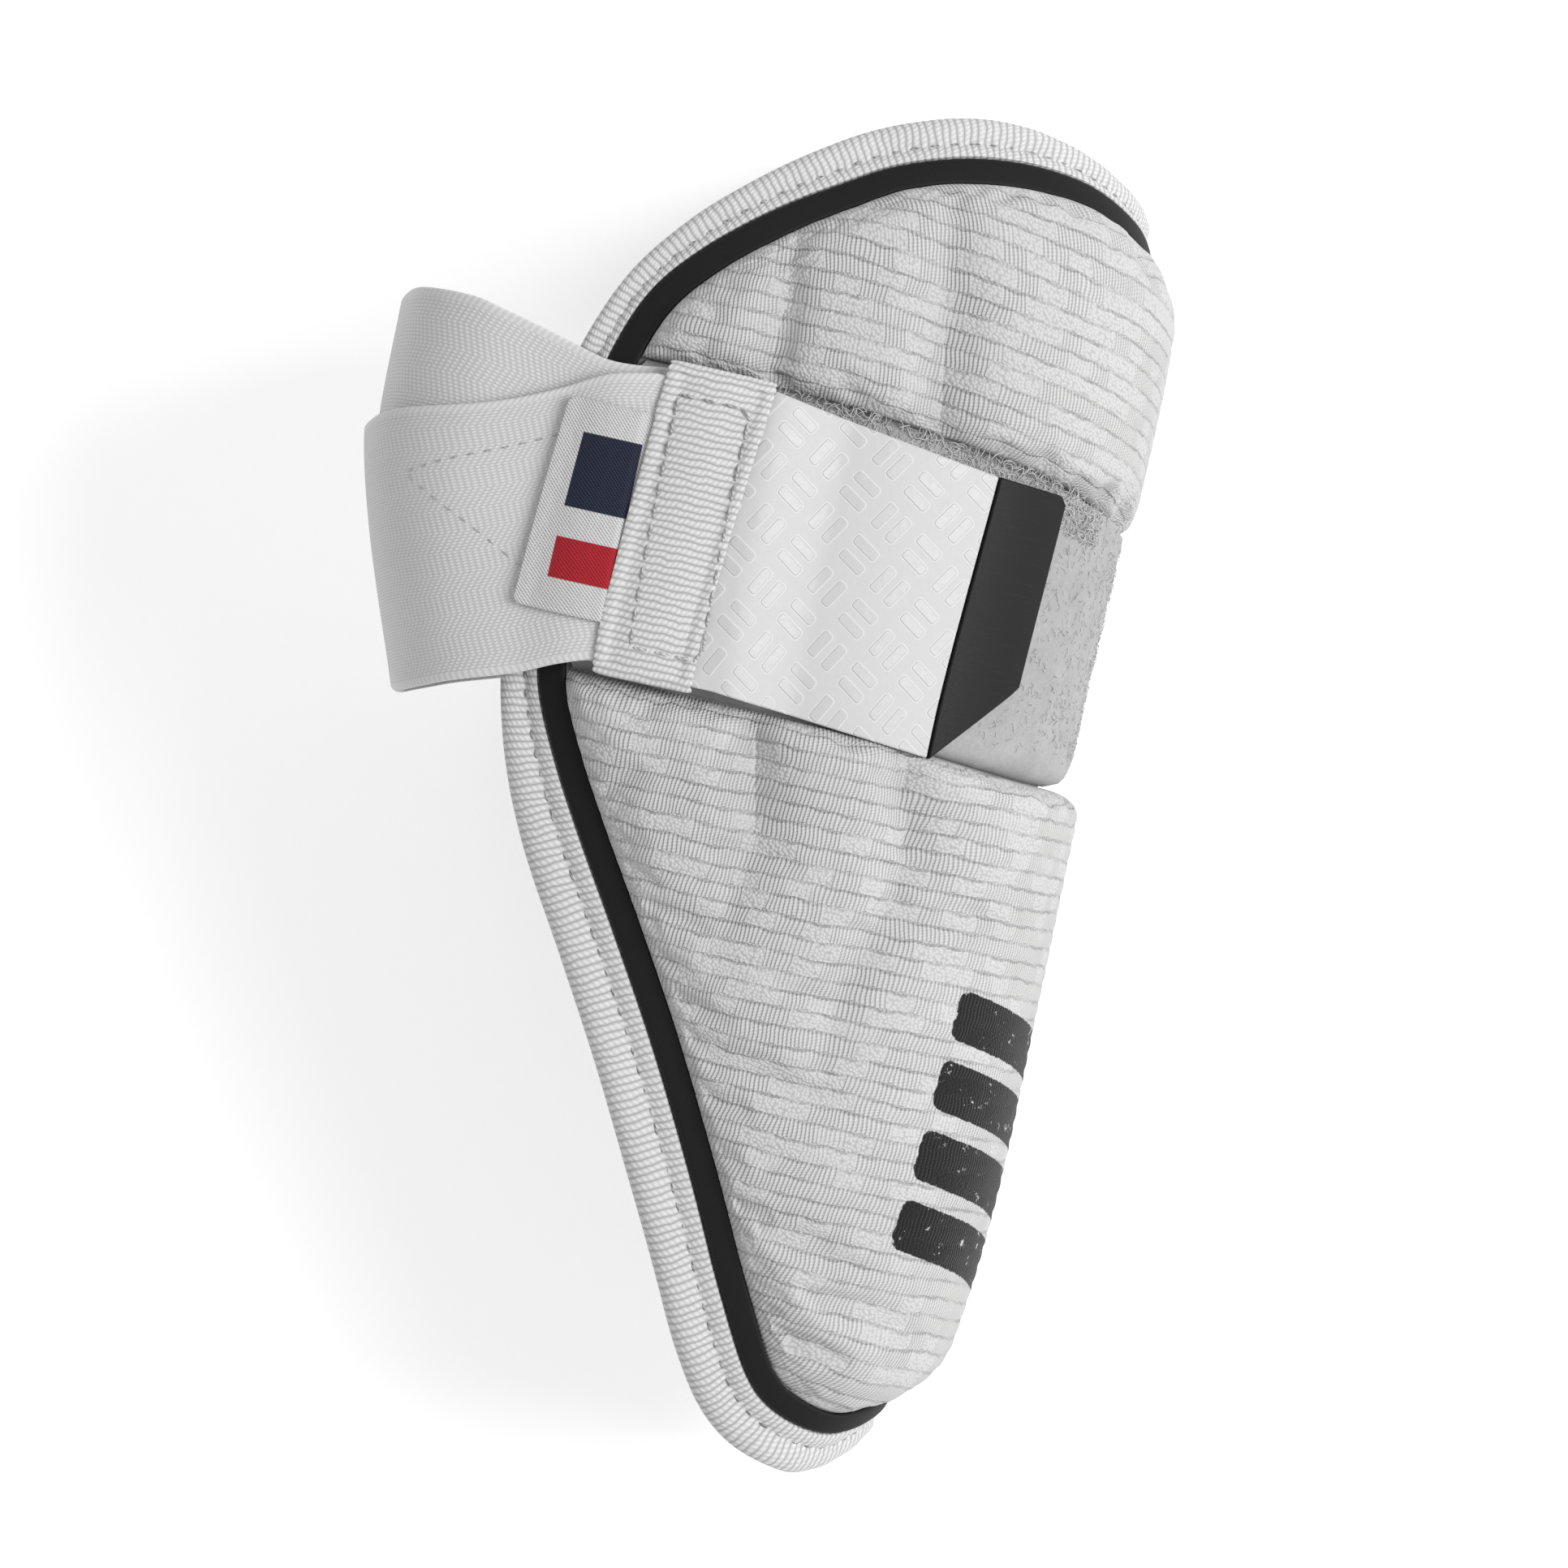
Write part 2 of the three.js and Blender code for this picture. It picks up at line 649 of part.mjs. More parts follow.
// The webbing sleeve: a flat tube of tape, open at the front for the tab and at the rear for
// the elastic.
function strapWebbing() {
  const columns = 4;
  const lip = webbingWall + seat;
  const low = outerPly;
  const slotLow = low + webbingWall;
  const slotHigh = slotLow + strapThickness + 2 * seat;
  const high = slotHigh + webbingWall;
  const ring = (foot, top, under, over) => [
    { y: foot, height: under },
    { y: (foot + top) / 2, height: under },
    { y: top, height: under },
    { y: top, height: over },
    { y: (foot + top) / 2, height: over },
    { y: foot, height: over },
  ];
  const outside = ring(strapFoot - lip, strapFoot + strapWidth + lip, low, high);
  const inside = ring(strapFoot - seat, strapFoot + strapWidth + seat, slotLow, slotHigh);
  const around = outside.length;
  const positions = [];
  const index = [];
  for (let i = 0; i <= columns; i += 1) {
    const angle = mix(webbingFrontAngle, webbingRearAngle, i / columns);
    for (const point of [...outside, ...inside]) {
      positions.push(...onStrap(angle, point.y, point.height).toArray());
    }
  }
  const number = (i, layer, k) => i * 2 * around + layer * around + (k % around);
  const quad = (a, b, c, d) => index.push(a, b, c, a, c, d);
  for (let k = 0; k < around; k += 1) {
    for (let i = 0; i < columns; i += 1) {
      quad(number(i, 0, k), number(i, 0, k + 1), number(i + 1, 0, k + 1), number(i + 1, 0, k));
      quad(number(i, 1, k), number(i + 1, 1, k), number(i + 1, 1, k + 1), number(i, 1, k + 1));
    }
    quad(number(0, 0, k), number(0, 1, k), number(0, 1, k + 1), number(0, 0, k + 1));
    const last = columns;
    quad(number(last, 0, k), number(last, 0, k + 1), number(last, 1, k + 1), number(last, 1, k));
  }
  return closedGeometry(positions, index);
}

// The tab's path: out of the sleeve, then down on to the loop pile. Its corners are given as a
// distance from the arm's centre towards the ridge, and along the arm.
const tabLine = 38.3;
const tabTip = 50;
const tabRootTop = strapFoot + strapWidth;
const tabRootFoot = strapFoot;
const tabLineTop = 56.5;
const tabLineFoot = 8.9;
const tabTipTop = 55.6;
const tabTipFoot = 23.3;
const tabRootAngle = webbingMiddleAngle - 0.5;

// The angle on the face at a distance towards the ridge, half way up the channel.
function angleAtReach(x) {
  let low = 0;
  let high = 120;
  for (let i = 0; i < 40; i += 1) {
    const middle = (low + high) / 2;
    if (facePoint(middle, (channelFoot + channelFlankTop) / 2).x > x) low = middle;
    else high = middle;
  }
  return (low + high) / 2;
}

const tabLineAngle = angleAtReach(tabLine);
const tabTipAngle = angleAtReach(tabTip);

// The tab's underside above the face.
function tabLift(angle) {
  const inSleeve = strapLift + sleeveFloor;
  return mix(loopHeight(angle) + seat, inSleeve, ease(74, webbingFrontAngle - 1, angle));
}

function tabPlate({ from, to, columns, topOf, footOf }) {
  const rows = 5;
  return slab(columns, rows, (i, j, outer) => {
    const angle = mix(from, to, i / columns);
    const y = mix(footOf(i / columns), topOf(i / columns), j / rows);
    return onFace(angle, y, tabLift(angle) + (outer ? tabThickness : 0));
  });
}

function hookTab() {
  const rootShare = (tabRootAngle - webbingFrontAngle) / (tabRootAngle - tabLineAngle);
  const spread = (share) => clamp((share - rootShare) / (1 - rootShare), 0, 1);
  return tabPlate({
    from: tabRootAngle,
    to: tabLineAngle,
    columns: 16,
    topOf: (share) => mix(tabRootTop, tabLineTop, spread(share)),
    footOf: (share) => mix(tabRootFoot, tabLineFoot, spread(share)),
  });
}

function tabEnd() {
  const split = (seat / (ridgeReach * degree)) * 1.2;
  return tabPlate({
    from: tabLineAngle - split,
    to: tabTipAngle,
    columns: 5,
    topOf: (share) => mix(tabLineTop, tabTipTop, share),
    footOf: (share) => mix(tabLineFoot, tabTipFoot, share),
  });
}

// The woven label, sewn in at the sleeve's rear edge and lying on the outer ply.
function sideLabel() {
  const columns = 4;
  const rows = 4;
  const front = webbingRear - seat - 0.2;
  const rear = front - labelLength;
  return slab(columns, rows, (i, j, outer) => {
    const angle = flankAngle(mix(front, rear, i / columns)) + 1.2 * (i / columns);
    const y = labelFoot + (labelWidth * j) / rows;
    const height = plyLift(angle) + strapThickness + seat;
    return onStrap(angle, y, height + (outer ? labelThickness : 0));
  });
}

// The patch over the strap's end on the right flank.
function anchorPatch() {
  const columns = 4;
  const rows = 4;
  const foot = strapFoot - (anchorWidth - strapWidth) / 2;
  return slab(columns, rows, (i, j, outer) => {
    const angle = mix(anchorRearAngle, anchorFrontAngle, i / columns);
    const y = foot + (anchorWidth * j) / rows;
    const height = strapThickness + seat;
    return onStrap(angle, y, height + (outer ? webbingWall : 0));
  });
}

const knit = new THREE.MeshStandardMaterial({ color: 0xdedede, roughness: 0.9, metalness: 0 });
const tape = new THREE.MeshStandardMaterial({ color: 0xd2d2d2, roughness: 0.85, metalness: 0 });
const elastic = new THREE.MeshStandardMaterial({ color: 0xc9c9c9, roughness: 0.9, metalness: 0 });
const pile = new THREE.MeshStandardMaterial({ color: 0xc4c4c4, roughness: 1, metalness: 0 });
const blackTrim = new THREE.MeshStandardMaterial({ color: 0x262626, roughness: 0.55, metalness: 0 });
const mouldedWhite = new THREE.MeshStandardMaterial({ color: 0xdcdcdc, roughness: 0.35, metalness: 0 });
const mouldedBlack = new THREE.MeshStandardMaterial({ color: 0x262626, roughness: 0.4, metalness: 0 });
const wovenLabel = new THREE.MeshStandardMaterial({ color: 0xececec, roughness: 0.7, metalness: 0 });

const pieces = [
  { name: "backing", geometry: backing(), material: knit },
  { name: "edge_binding", geometry: edgeBinding(), material: tape },
  { name: "rim_trim", geometry: rimTrim(), material: blackTrim },
  { name: "upper_pad", geometry: upperPad(), material: knit },
  { name: "lower_pad", geometry: lowerPad(), material: knit },
  { name: "loop_panel", geometry: loopPanel(), material: pile },
  { name: "strap_inner", geometry: strapInner(), material: elastic },
  { name: "strap_outer", geometry: strapOuter(), material: elastic },
  { name: "strap_webbing", geometry: strapWebbing(), material: tape },
  { name: "hook_tab", geometry: hookTab(), material: mouldedWhite },
  { name: "tab_end", geometry: tabEnd(), material: mouldedBlack },
  { name: "side_label", geometry: sideLabel(), material: wovenLabel },
  { name: "anchor_patch", geometry: anchorPatch(), material: tape },
];

// The guard as it lies, turned so that its resting plane is level and set down on z = 0 with
// the origin under its middle.
const guard = new THREE.Group();
const lying = new THREE.Group();
lying.quaternion.setFromRotationMatrix(lieTurn);
for (const { name, geometry, material } of pieces) {
  const mesh = new THREE.Mesh(geometry, material);
  mesh.name = name;
  lying.add(mesh);
}
guard.add(lying);
guard.updateMatrixWorld(true);
const box = new THREE.Box3().setFromObject(guard, true);
const middle = box.getCenter(new THREE.Vector3());
lying.position.set(-middle.x, -middle.y, restingFloor);

export default guard;
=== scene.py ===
"""The looks of a batting elbow guard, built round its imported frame.

The guard is a padded half sleeve that lies on its right flank. Its pieces are worked out in the
arm's frame, in millimetres: x from the arm's centre out to the ridge, y along the arm from the
narrow end to the wide end, z out of the left flank. Lie turns them into the row frame.
"""

import logging
import math
from dataclasses import dataclass
from enum import Enum
from typing import Callable

import bmesh
import bpy
import numpy as np
from mathutils import Matrix, Vector


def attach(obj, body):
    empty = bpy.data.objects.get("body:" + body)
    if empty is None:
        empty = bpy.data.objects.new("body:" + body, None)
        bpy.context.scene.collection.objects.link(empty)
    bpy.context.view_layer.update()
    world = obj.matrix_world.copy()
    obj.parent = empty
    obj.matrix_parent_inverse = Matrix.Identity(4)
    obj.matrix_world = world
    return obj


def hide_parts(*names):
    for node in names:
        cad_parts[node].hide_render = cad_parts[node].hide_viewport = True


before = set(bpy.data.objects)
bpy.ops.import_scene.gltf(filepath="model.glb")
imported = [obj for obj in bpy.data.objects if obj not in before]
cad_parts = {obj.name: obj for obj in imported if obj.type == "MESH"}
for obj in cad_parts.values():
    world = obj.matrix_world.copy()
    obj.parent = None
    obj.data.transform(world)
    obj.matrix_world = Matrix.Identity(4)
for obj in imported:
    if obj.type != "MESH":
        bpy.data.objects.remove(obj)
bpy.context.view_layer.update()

LOG = logging.getLogger("elbow_guard")
Array = np.ndarray
Surface = Callable[[Array, Array], Array]
Line = Callable[[Array], Array]
Piece = bpy.types.Object
Socket = bpy.types.NodeSocket
CLOTH_MAP = "Cloth"
MM = 0.001

# Millimetres: the seat between pieces, with room for facets at the pads; the strap channel's foot
# and top, on the ridge and on the flank; and the loop pile's height at the same two places. The
# last pair is where the ridge's heights start to pass into the flank's, and end, in degrees.
SEAT = 0.3
PAD_SEAT = 1.0
CHANNEL_FOOT = (8.2, 9.9)
CHANNEL_TOP = (51.2, 62.6)
PILE_HEIGHT = (4.4, 2.4)
RIDGE_TO_FLANK = (15, 60)


class Slot(Enum):
    """The record's material slots."""

    KNIT = "knit_cover"
    TAPE = "binding_tape"
    TRIM = "black_trim"
    PILE = "loop_pile"
    ELASTIC = "elastic"
    TAB = "moulded_tab"
    TAB_END = "black_tab_end"
    LABEL = "woven_label"


class Skin(Enum):
    """The two sides of a piece that is worked out as a grid."""

    INNER = 0
    OUTER = 1


# Sections of the wrap: along the half length, then ridge and centre as shares of the ridge's
# reach, and width as a share of the half width.
SECTIONS = (
    (-1.0, 0.71, 0.5, 0.526), (-0.941, 0.842, 0.465, 0.59), (-0.853, 0.935, 0.412, 0.664),
    (-0.748, 0.988, 0.351, 0.726), (-0.528, 1.018, 0.246, 0.816), (-0.264, 1.01, 0.144, 0.899),
    (0.0, 1.0, 0.061, 0.965), (0.176, 0.996, 0.018, 0.994), (0.528, 0.996, 0.0, 1.0),
    (0.756, 0.985, 0.0, 0.969), (0.844, 0.946, 0.026, 0.928), (0.923, 0.882, 0.061, 0.872),
    (1.0, 0.754, 0.105, 0.784),
)

# The left rim, from the ridge's wide end to its narrow end: degrees round the arm, along the
# half length, and the binding's width as a share of the widest.
RIM = (
    (0, 0.915, 0.68), (20, 0.944, 0.68), (40, 0.984, 0.7), (57, 1, 0.74), (71, 0.99, 0.76),
    (87.5, 0.946, 0.74), (97, 0.899, 0.7), (105, 0.844, 0.63), (114.3, 0.757, 0.54),
    (120.6, 0.682, 0.5), (124.6, 0.607, 0.51), (128.7, 0.484, 0.58), (129.9, 0.352, 0.62),
    (130.6, 0.176, 0.66), (131.6, 0.047, 0.71), (130.5, -0.07, 0.9), (127.3, -0.176, 1),
    (120.3, -0.317, 1), (112.9, -0.466, 1), (106.3, -0.616, 1), (100.6, -0.748, 0.97),
    (96.8, -0.844, 0.96), (91.5, -0.912, 0.93), (82, -0.956, 0.9), (61, -0.977, 0.91),
    (31, -0.949, 0.93), (0, -0.908, 0.94),
)
WIDE_CORNER = 7
NARROW_CORNER = 22

# How far the strap runs behind the arm's centre, by its place along the half length.
STRAP_BACK = (
    (-0.2, 0.64), (-0.106, 0.685), (0.0, 0.757), (0.141, 0.859), (0.237, 0.923), (0.332, 0.974),
    (0.4, 0.993), (0.563, 1.0),
)

# How far the plies' edges stand over the strap's own, in mm, by degrees round the back of the arm.
OUTER_TOP = (
    (112, -1.6), (119, -3.319), (127, -7.521), (138, -12.869), (148, -15.925), (160, -18.599),
    (180, -20.7),
)
OUTER_FOOT = (
    (104, 0.7), (112, 1.0), (119, -0.9), (127, -4.6), (138, -8.6), (144, -9.9), (150, -10.6),
    (158, -11.0), (168, -10.6), (180, -9.8),
)
INNER_TOP = (
    (100, 0), (110, -0.2), (117, -1.0), (121, -1.0), (126, 0.1), (132, 1.8), (137, 3.2), (142, 4.4),
    (152, 4.2), (160, 3.2), (168, 1.9), (180, 0.6),
)

# The sewn grooves: along the half length, degrees from the ridge, share of the full depth.
FRONT_GROOVE = (
    (-0.47, 66, 0), (-0.29, 62, 0.45), (-0.1, 53, 0.85), (0.062, 55, 1), (0.55, 60.5, 1),
    (0.72, 63, 0.7), (0.86, 66.5, 0.1),
)
REAR_GROOVE = (
    (-0.47, 92, 0), (-0.29, 88, 0), (-0.1, 81.5, 0.6), (0.062, 82.5, 1), (0.55, 91, 0.9),
    (0.72, 92.5, 0.5), (0.86, 94, 0),
)

# The binding's section, from its inner edge over the fold and back inside: inset as a share of
# the tape's width, inset in mm, height in mm, and how far across the tape it is, in mm.
BINDING_SECTION = (
    (0.0, 1.0, -0.1, 0.8, 0.0), (0.03, 1.0, -0.35, 1.5, 0.8), (0.08, 0.94, 0.0, 1.95, 1.4),
    (0.14, 0.8, 0.0, 1.85, 2.6), (0.19, 0.7, 0.0, 1.5, 3.5), (0.22, 0.65, 0.0, 1.34, 3.9),
    (0.25, 0.6, 0.0, 1.6, 4.3), (0.31, 0.48, 0.0, 2.15, 5.4), (0.38, 0.32, 0.0, 2.5, 6.8),
    (0.45, 0.16, 0.0, 2.25, 8.2), (0.5, 0.05, 0.0, 1.35, 9.3), (0.55, 0.0, -0.1, -0.3, 11.0),
    (0.6, 0.0, 0.0, -2.4, 13.0), (0.65, 0.05, 0.0, -4.6, 15.2), (0.7, 0.16, 0.0, -5.6, 16.6),
    (0.78, 0.4, 0.0, -5.9, 19.0), (0.84, 0.7, 0.0, -5.7, 21.6), (0.87, 0.78, 0.0, -5.3, 22.5),
    (0.89, 0.78, 0.0, -4.9, 23.0), (0.92, 0.5, 0.0, -4.86, 25.0), (0.95, 0.0, 1.2, -4.7, 28.0),
    (0.965, 0.0, 0.95, -2.0, 31.0), (0.98, 0.0, 1.2, 0.7, 33.5), (0.99, 0.5, 0.5, 0.75, 36.0),
    (1.0, 1.0, -0.1, 0.8, 40.0),
)


def mix(start: Array, end: Array, share: Array) -> Array:
    """A value between start and end."""
    return start + (end - start) * share


def ease(start: float, end: float, value: Array) -> Array:
    """0 before start, 1 past end and smooth between them; start may be the larger."""
    share = np.clip((np.asarray(value, float) - start) / (end - start), 0.0, 1.0)
    return share * share * (3.0 - 2.0 * share)


def unit(vectors: Array) -> Array:
    """The vectors at length 1."""
    return vectors / np.linalg.norm(vectors, axis=-1, keepdims=True)


def squared_off(wave: Array, power: float) -> Array:
    """A wave between -1 and 1 with flatter crests for a smaller power."""
    return np.sign(wave) * np.abs(wave) ** power


def shoulder(distance: Array, width: Array, power: Array = 0.5) -> Array:
    """0 at a border, and up a round shoulder to 1 at a width inside it."""
    return (1 - np.clip(1 - distance / width, 0, 1) ** 2) ** power


def run_length(points: Array) -> Array:
    """The distance along each row of points from its first one.

    Args:
        points: Places, (rows, columns, 3) or (columns, 3).

    Returns:
        Distances of the same shape without the last axis.
    """
    steps = np.linalg.norm(np.diff(points, axis=-2), axis=-1)
    return np.concatenate([np.zeros(steps.shape[:-1] + (1,)), np.cumsum(steps, axis=-1)], axis=-1)


@dataclass(frozen=True)
class Curve:
    """A smooth line through a table's rows, straight past its ends."""

    keys: Array
    values: Array

    @classmethod
    def column(cls, table: tuple, index: int) -> "Curve":
        """The curve of one column of a table over its first column."""
        rows = np.array(table, float)
        return cls(rows[:, 0], rows[:, index])

    def at(self, key: Array) -> Array:
        """Reads the curve.

        Args:
            key: Where to read it.

        Returns:
            The values there. Where the table's values are rows, a last axis is added.
        """
        key = np.asarray(key, float)
        last = len(self.keys) - 1
        place = np.arange(last + 1)
        low, high = np.maximum(place - 1, 0), np.minimum(place + 1, last)
        wide = (slice(None),) + (None,) * (self.values.ndim - 1)
        slope = (self.values[high] - self.values[low]) / (self.keys[high] - self.keys[low])[wide]
        i = np.clip(np.searchsorted(self.keys, key, side="right") - 1, 0, last - 1)
        span = self.keys[i + 1] - self.keys[i]
        t = np.clip((key - self.keys[i]) / span, 0.0, 1.0)
        over = np.maximum(key - self.keys[-1], 0.0)
        under = np.minimum(key - self.keys[0], 0.0)
        if self.values.ndim > 1:
            t, span, over, under = (x[..., None] for x in (t, span, over, under))
        inside = mix(self.values[i], self.values[i + 1], t * t * (3 - 2 * t))
        bend = t * (1 - t) ** 2 * span * slope[i] + t * t * (t - 1) * span * slope[i + 1]
        return inside + bend + over * slope[-1] + under * slope[0]


def lifted(surface: Surface, angle: Array, y: Array, height: Array) -> Array:
    """Points at a height above a surface that is given by angle and y.

    Args:
        surface: The surface.
        angle: Degrees round the arm from the ridge.
        y: Millimetres along the arm.
        height: Millimetres along the surface's outward normal.

    Returns:
        Points in the arm's frame.
    """
    step = 0.05
    angle, y, height = np.broadcast_arrays(angle, y, height)
    across = surface(angle + step, y) - surface(angle - step, y)
    along = surface(angle, y + step) - surface(angle, y - step)
    return surface(angle, y) + unit(np.cross(along, across)) * height[..., None]


@dataclass(frozen=True)
class Wrap:
    """The backing's outer face, which everything else is measured from."""

    length: float = 227.4
    ridge_reach: float = 57.0
    half_width: float = 48.5
    power: float = 2.7

    @property
    def half_length(self) -> float:
        """Half the guard's length."""
        return self.length / 2

    def centre(self, y: Array) -> Array:
        """How far towards the ridge a section's middle lies."""
        return self.ridge_reach * Curve.column(SECTIONS, 2).at(y / self.half_length)

    def face(self, angle: Array, y: Array) -> Array:
        """Points of the face, by degrees round the arm and millimetres along it."""
        share = y / self.half_length
        centre = self.centre(y)
        reach = self.ridge_reach * Curve.column(SECTIONS, 1).at(share) - centre
        width = self.half_width * Curve.column(SECTIONS, 3).at(share)
        turn = np.radians(angle)
        across = np.abs(np.cos(turn)) / reach
        side = np.abs(np.sin(turn)) / width
        radius = (across**self.power + side**self.power) ** (-1 / self.power)
        return np.stack([centre + radius * np.cos(turn), y + 0 * radius, radius * np.sin(turn)], -1)

    def over(self, angle: Array, y: Array, height: Array) -> Array:
        """Points at a height above the face."""
        return lifted(self.face, angle, y, height)

    def above(self, place: Array, height: Array) -> Array:
        """Points at a height above places that are rows of angle and y."""
        return self.over(place[..., 0], place[..., 1], height)


@dataclass(frozen=True)
class Rim:
    """The guard's edge, and the lines that run round inside it."""

    wrap: Wrap
    widest_margin: float = 10.4
    trim_width: float = 4.4
    corner_blend: float = 0.012

    @property
    def control(self) -> Array:
        """The closed ring of control points: angle, y and binding width."""
        rows = np.array(RIM, float) * (1.0, self.wrap.half_length, self.widest_margin)
        return np.concatenate([rows, rows[-2:0:-1] * (-1.0, 1.0, 1.0)])

    def share_of(self, row: int) -> float:
        """The share of the ring at a control point."""
        return row / (2 * len(RIM) - 2)

    def point(self, share: Array) -> Array:
        """Angle, y and binding width at a share of the ring, by a centripetal curve."""
        table = self.control
        spot = np.mod(np.asarray(share, float), 1.0) * len(table)
        first = np.floor(spot).astype(int)
        t = (spot - first)[..., None]
        p0, p1, p2, p3 = (table[(first + k) % len(table)] for k in (-1, 0, 1, 2))
        d0, d1, d2 = (
            np.sum((b - a) ** 2, axis=-1, keepdims=True) ** 0.25
            for a, b in ((p0, p1), (p1, p2), (p2, p3))
        )
        leave = ((p1 - p0) / d0 - (p2 - p0) / (d0 + d1) + (p2 - p1) / d1) * d1
        reach = ((p2 - p1) / d1 - (p3 - p1) / (d1 + d2) + (p3 - p2) / d2) * d1
        square = -3 * p1 + 3 * p2 - 2 * leave - reach
        cube = 2 * p1 - 2 * p2 + leave + reach
        return p1 + leave * t + square * t**2 + cube * t**3

    def margin(self, share: Array) -> Array:
        """The binding's width."""
        return self.point(share)[..., 2]

    def trim_inner(self, share: Array) -> Array:
        """The inset of the trim's inner edge."""
        return self.margin(share) + self.trim_width

    def pad_edge(self, share: Array) -> Array:
        """The inset of the pads' border."""
        return self.trim_inner(share) + PAD_SEAT

    def inset(self, share: Array, distance: Array) -> Array:
        """Places at a distance inwards from the rim, blended round the narrow end's corners.

        Args:
            share: Shares of the ring.
            distance: Millimetres inwards.

        Returns:
            Angle and y of each place.
        """
        share = np.asarray(share, float)
        folded = 0.5 - np.abs(np.mod(share, 1.0) - 0.5)
        spread = self.corner_blend * ease(0.35, 0.4, folded) * np.clip(np.asarray(distance) / 10, 0, 1)
        weights = ((-2, 1 / 16), (-1, 4 / 16), (0, 6 / 16), (1, 4 / 16), (2, 1 / 16))
        moved = sum(weight * self.offset(share + k * spread, distance) for k, weight in weights)
        y = moved[..., 1]
        angle = np.degrees(np.arctan2(moved[..., 2], moved[..., 0] - self.wrap.centre(y)))
        return np.stack([angle, y], -1)

    def offset(self, share: Array, distance: Array) -> Array:
        """Points of the face at a distance inwards from the rim.

        Args:
            share: Shares of the ring.
            distance: Millimetres inwards.

        Returns:
            The points.
        """
        step = 0.013
        edge, ahead, behind = (
            self.wrap.face(at[..., 0], at[..., 1])
            for at in (self.point(share), self.point(share + step), self.point(share - step))
        )
        tangent = unit(ahead - behind)
        normal = self.wrap.above(self.point(share), 1.0) - edge
        return edge + unit(np.cross(normal, tangent)) * np.asarray(distance)[..., None]

    def crossing(self, inset_of: Line, y: float) -> float:
        """The share along the left rim where a line inside it reaches a height y."""
        wide, narrow = self.share_of(WIDE_CORNER), self.share_of(NARROW_CORNER)
        for _ in range(40):
            middle = np.array((wide + narrow) / 2)
            if self.inset(middle, inset_of(middle))[1] > y:
                wide = float(middle)
            else:
                narrow = float(middle)
        return (wide + narrow) / 2

    def corner(self, inset_of: Line, y: float) -> tuple[float, Array]:
        """The share at which a line inside the left rim reaches a height y, and the place there."""
        share = self.crossing(inset_of, y)
        return share, self.inset(np.array(share), inset_of(np.array(share)))

    def line(self, inset_of: Line, start: float, end: float) -> Line:
        """A line inside the rim between two shares of it."""
        return lambda share: self.inset(mix(start, end, share), inset_of(mix(start, end, share)))

    def even(self, count: int) -> tuple[Array, Array]:
        """Shares at even distances round the rim.

        Args:
            count: How many steps.

        Returns:
            The shares, and each one's distance from the first, in mm.
        """
        dense = np.linspace(0, 1, 4001)
        at = self.point(dense)
        run = run_length(self.wrap.face(at[:, 0], at[:, 1]))
        even = np.linspace(0, run[-1], count + 1)
        return np.interp(even, run, dense), even


@dataclass(frozen=True)
class HalfPatch:
    """A patch of the face between four lines, mirrored about the ridge."""

    foot: Line
    top: Line
    flank: Line

    def place(self, side: Array, rise: Array) -> Array:
        """Places on the patch.

        Args:
            side: -1 at the right border, 0 on the ridge, 1 at the left border.
            rise: 0 at the foot, 1 at the top.

        Returns:
            Angle and y of each place.
        """
        s, r = np.abs(side)[..., None], rise[..., None]
        foot0, foot1, top0, top1 = (
            line(np.array(end)) for line in (self.foot, self.top) for end in (0.0, 1.0)
        )
        across = mix(self.foot(np.abs(side)), self.top(np.abs(side)), r)
        along = mix(mix(foot0, top0, r), self.flank(rise), s)
        found = across + along - mix(mix(foot0, foot1, s), mix(top0, top1, s), r)
        found[..., 0] *= np.sign(side)
        return found


@dataclass(frozen=True)
class Lie:
    """How the guard lies: rolled on to its right flank and set down on z = 0."""

    roll: float = 14.0
    pitch: float = 1.0
    shift: tuple[float, float, float] = (1.798337, -0.97626, 54.820867)

    @property
    def turn(self) -> Matrix:
        """The rotation from the arm's frame to the row frame."""
        roll = Matrix.Rotation(math.radians(self.roll), 3, "Y")
        return Matrix.Rotation(math.radians(self.pitch), 3, "X") @ roll

    def down(self, points: Array, flattened: bool = False) -> Array:
        """Brings points to the row frame.

        Args:
            points: Places in the arm's frame, in mm.
            flattened: Whether cloth that would pass the floor lies flat on it.

        Returns:
            Places in the row frame, in metres.
        """
        placed = points @ np.array(self.turn).T + self.shift
        if flattened:
            placed[..., 2] = np.maximum(placed[..., 2], 0.0)
        return placed * MM


def angle_at(x: float, y: float, over: Surface) -> float:
    """The angle at which a lifted surface is at a distance towards the ridge.

    Args:
        x: The distance from the arm's centre.
        y: Millimetres along the arm.
        over: The surface's points by angle and y.

    Returns:
        The angle on the left side.
    """
    angle = np.linspace(2, 150, 2961)
    return float(np.interp(-x, -over(angle, 0 * angle + y)[:, 0], angle))


WRAP = Wrap()
RIM_LINES = Rim(WRAP)
LIE = Lie()


def mesh_of(bm: bmesh.types.BMesh, name: str) -> bpy.types.Mesh:
    """Turns a bmesh into a mesh and frees it."""
    mesh = bpy.data.meshes.new(name)
    bm.to_mesh(mesh)
    bm.free()
    return mesh


def in_scene(name: str, data: bpy.types.ID) -> Piece:
    """Puts a mesh, a lamp or a camera into the scene as an object."""
    thing = bpy.data.objects.new(name, data)
    bpy.context.scene.collection.objects.link(thing)
    return thing


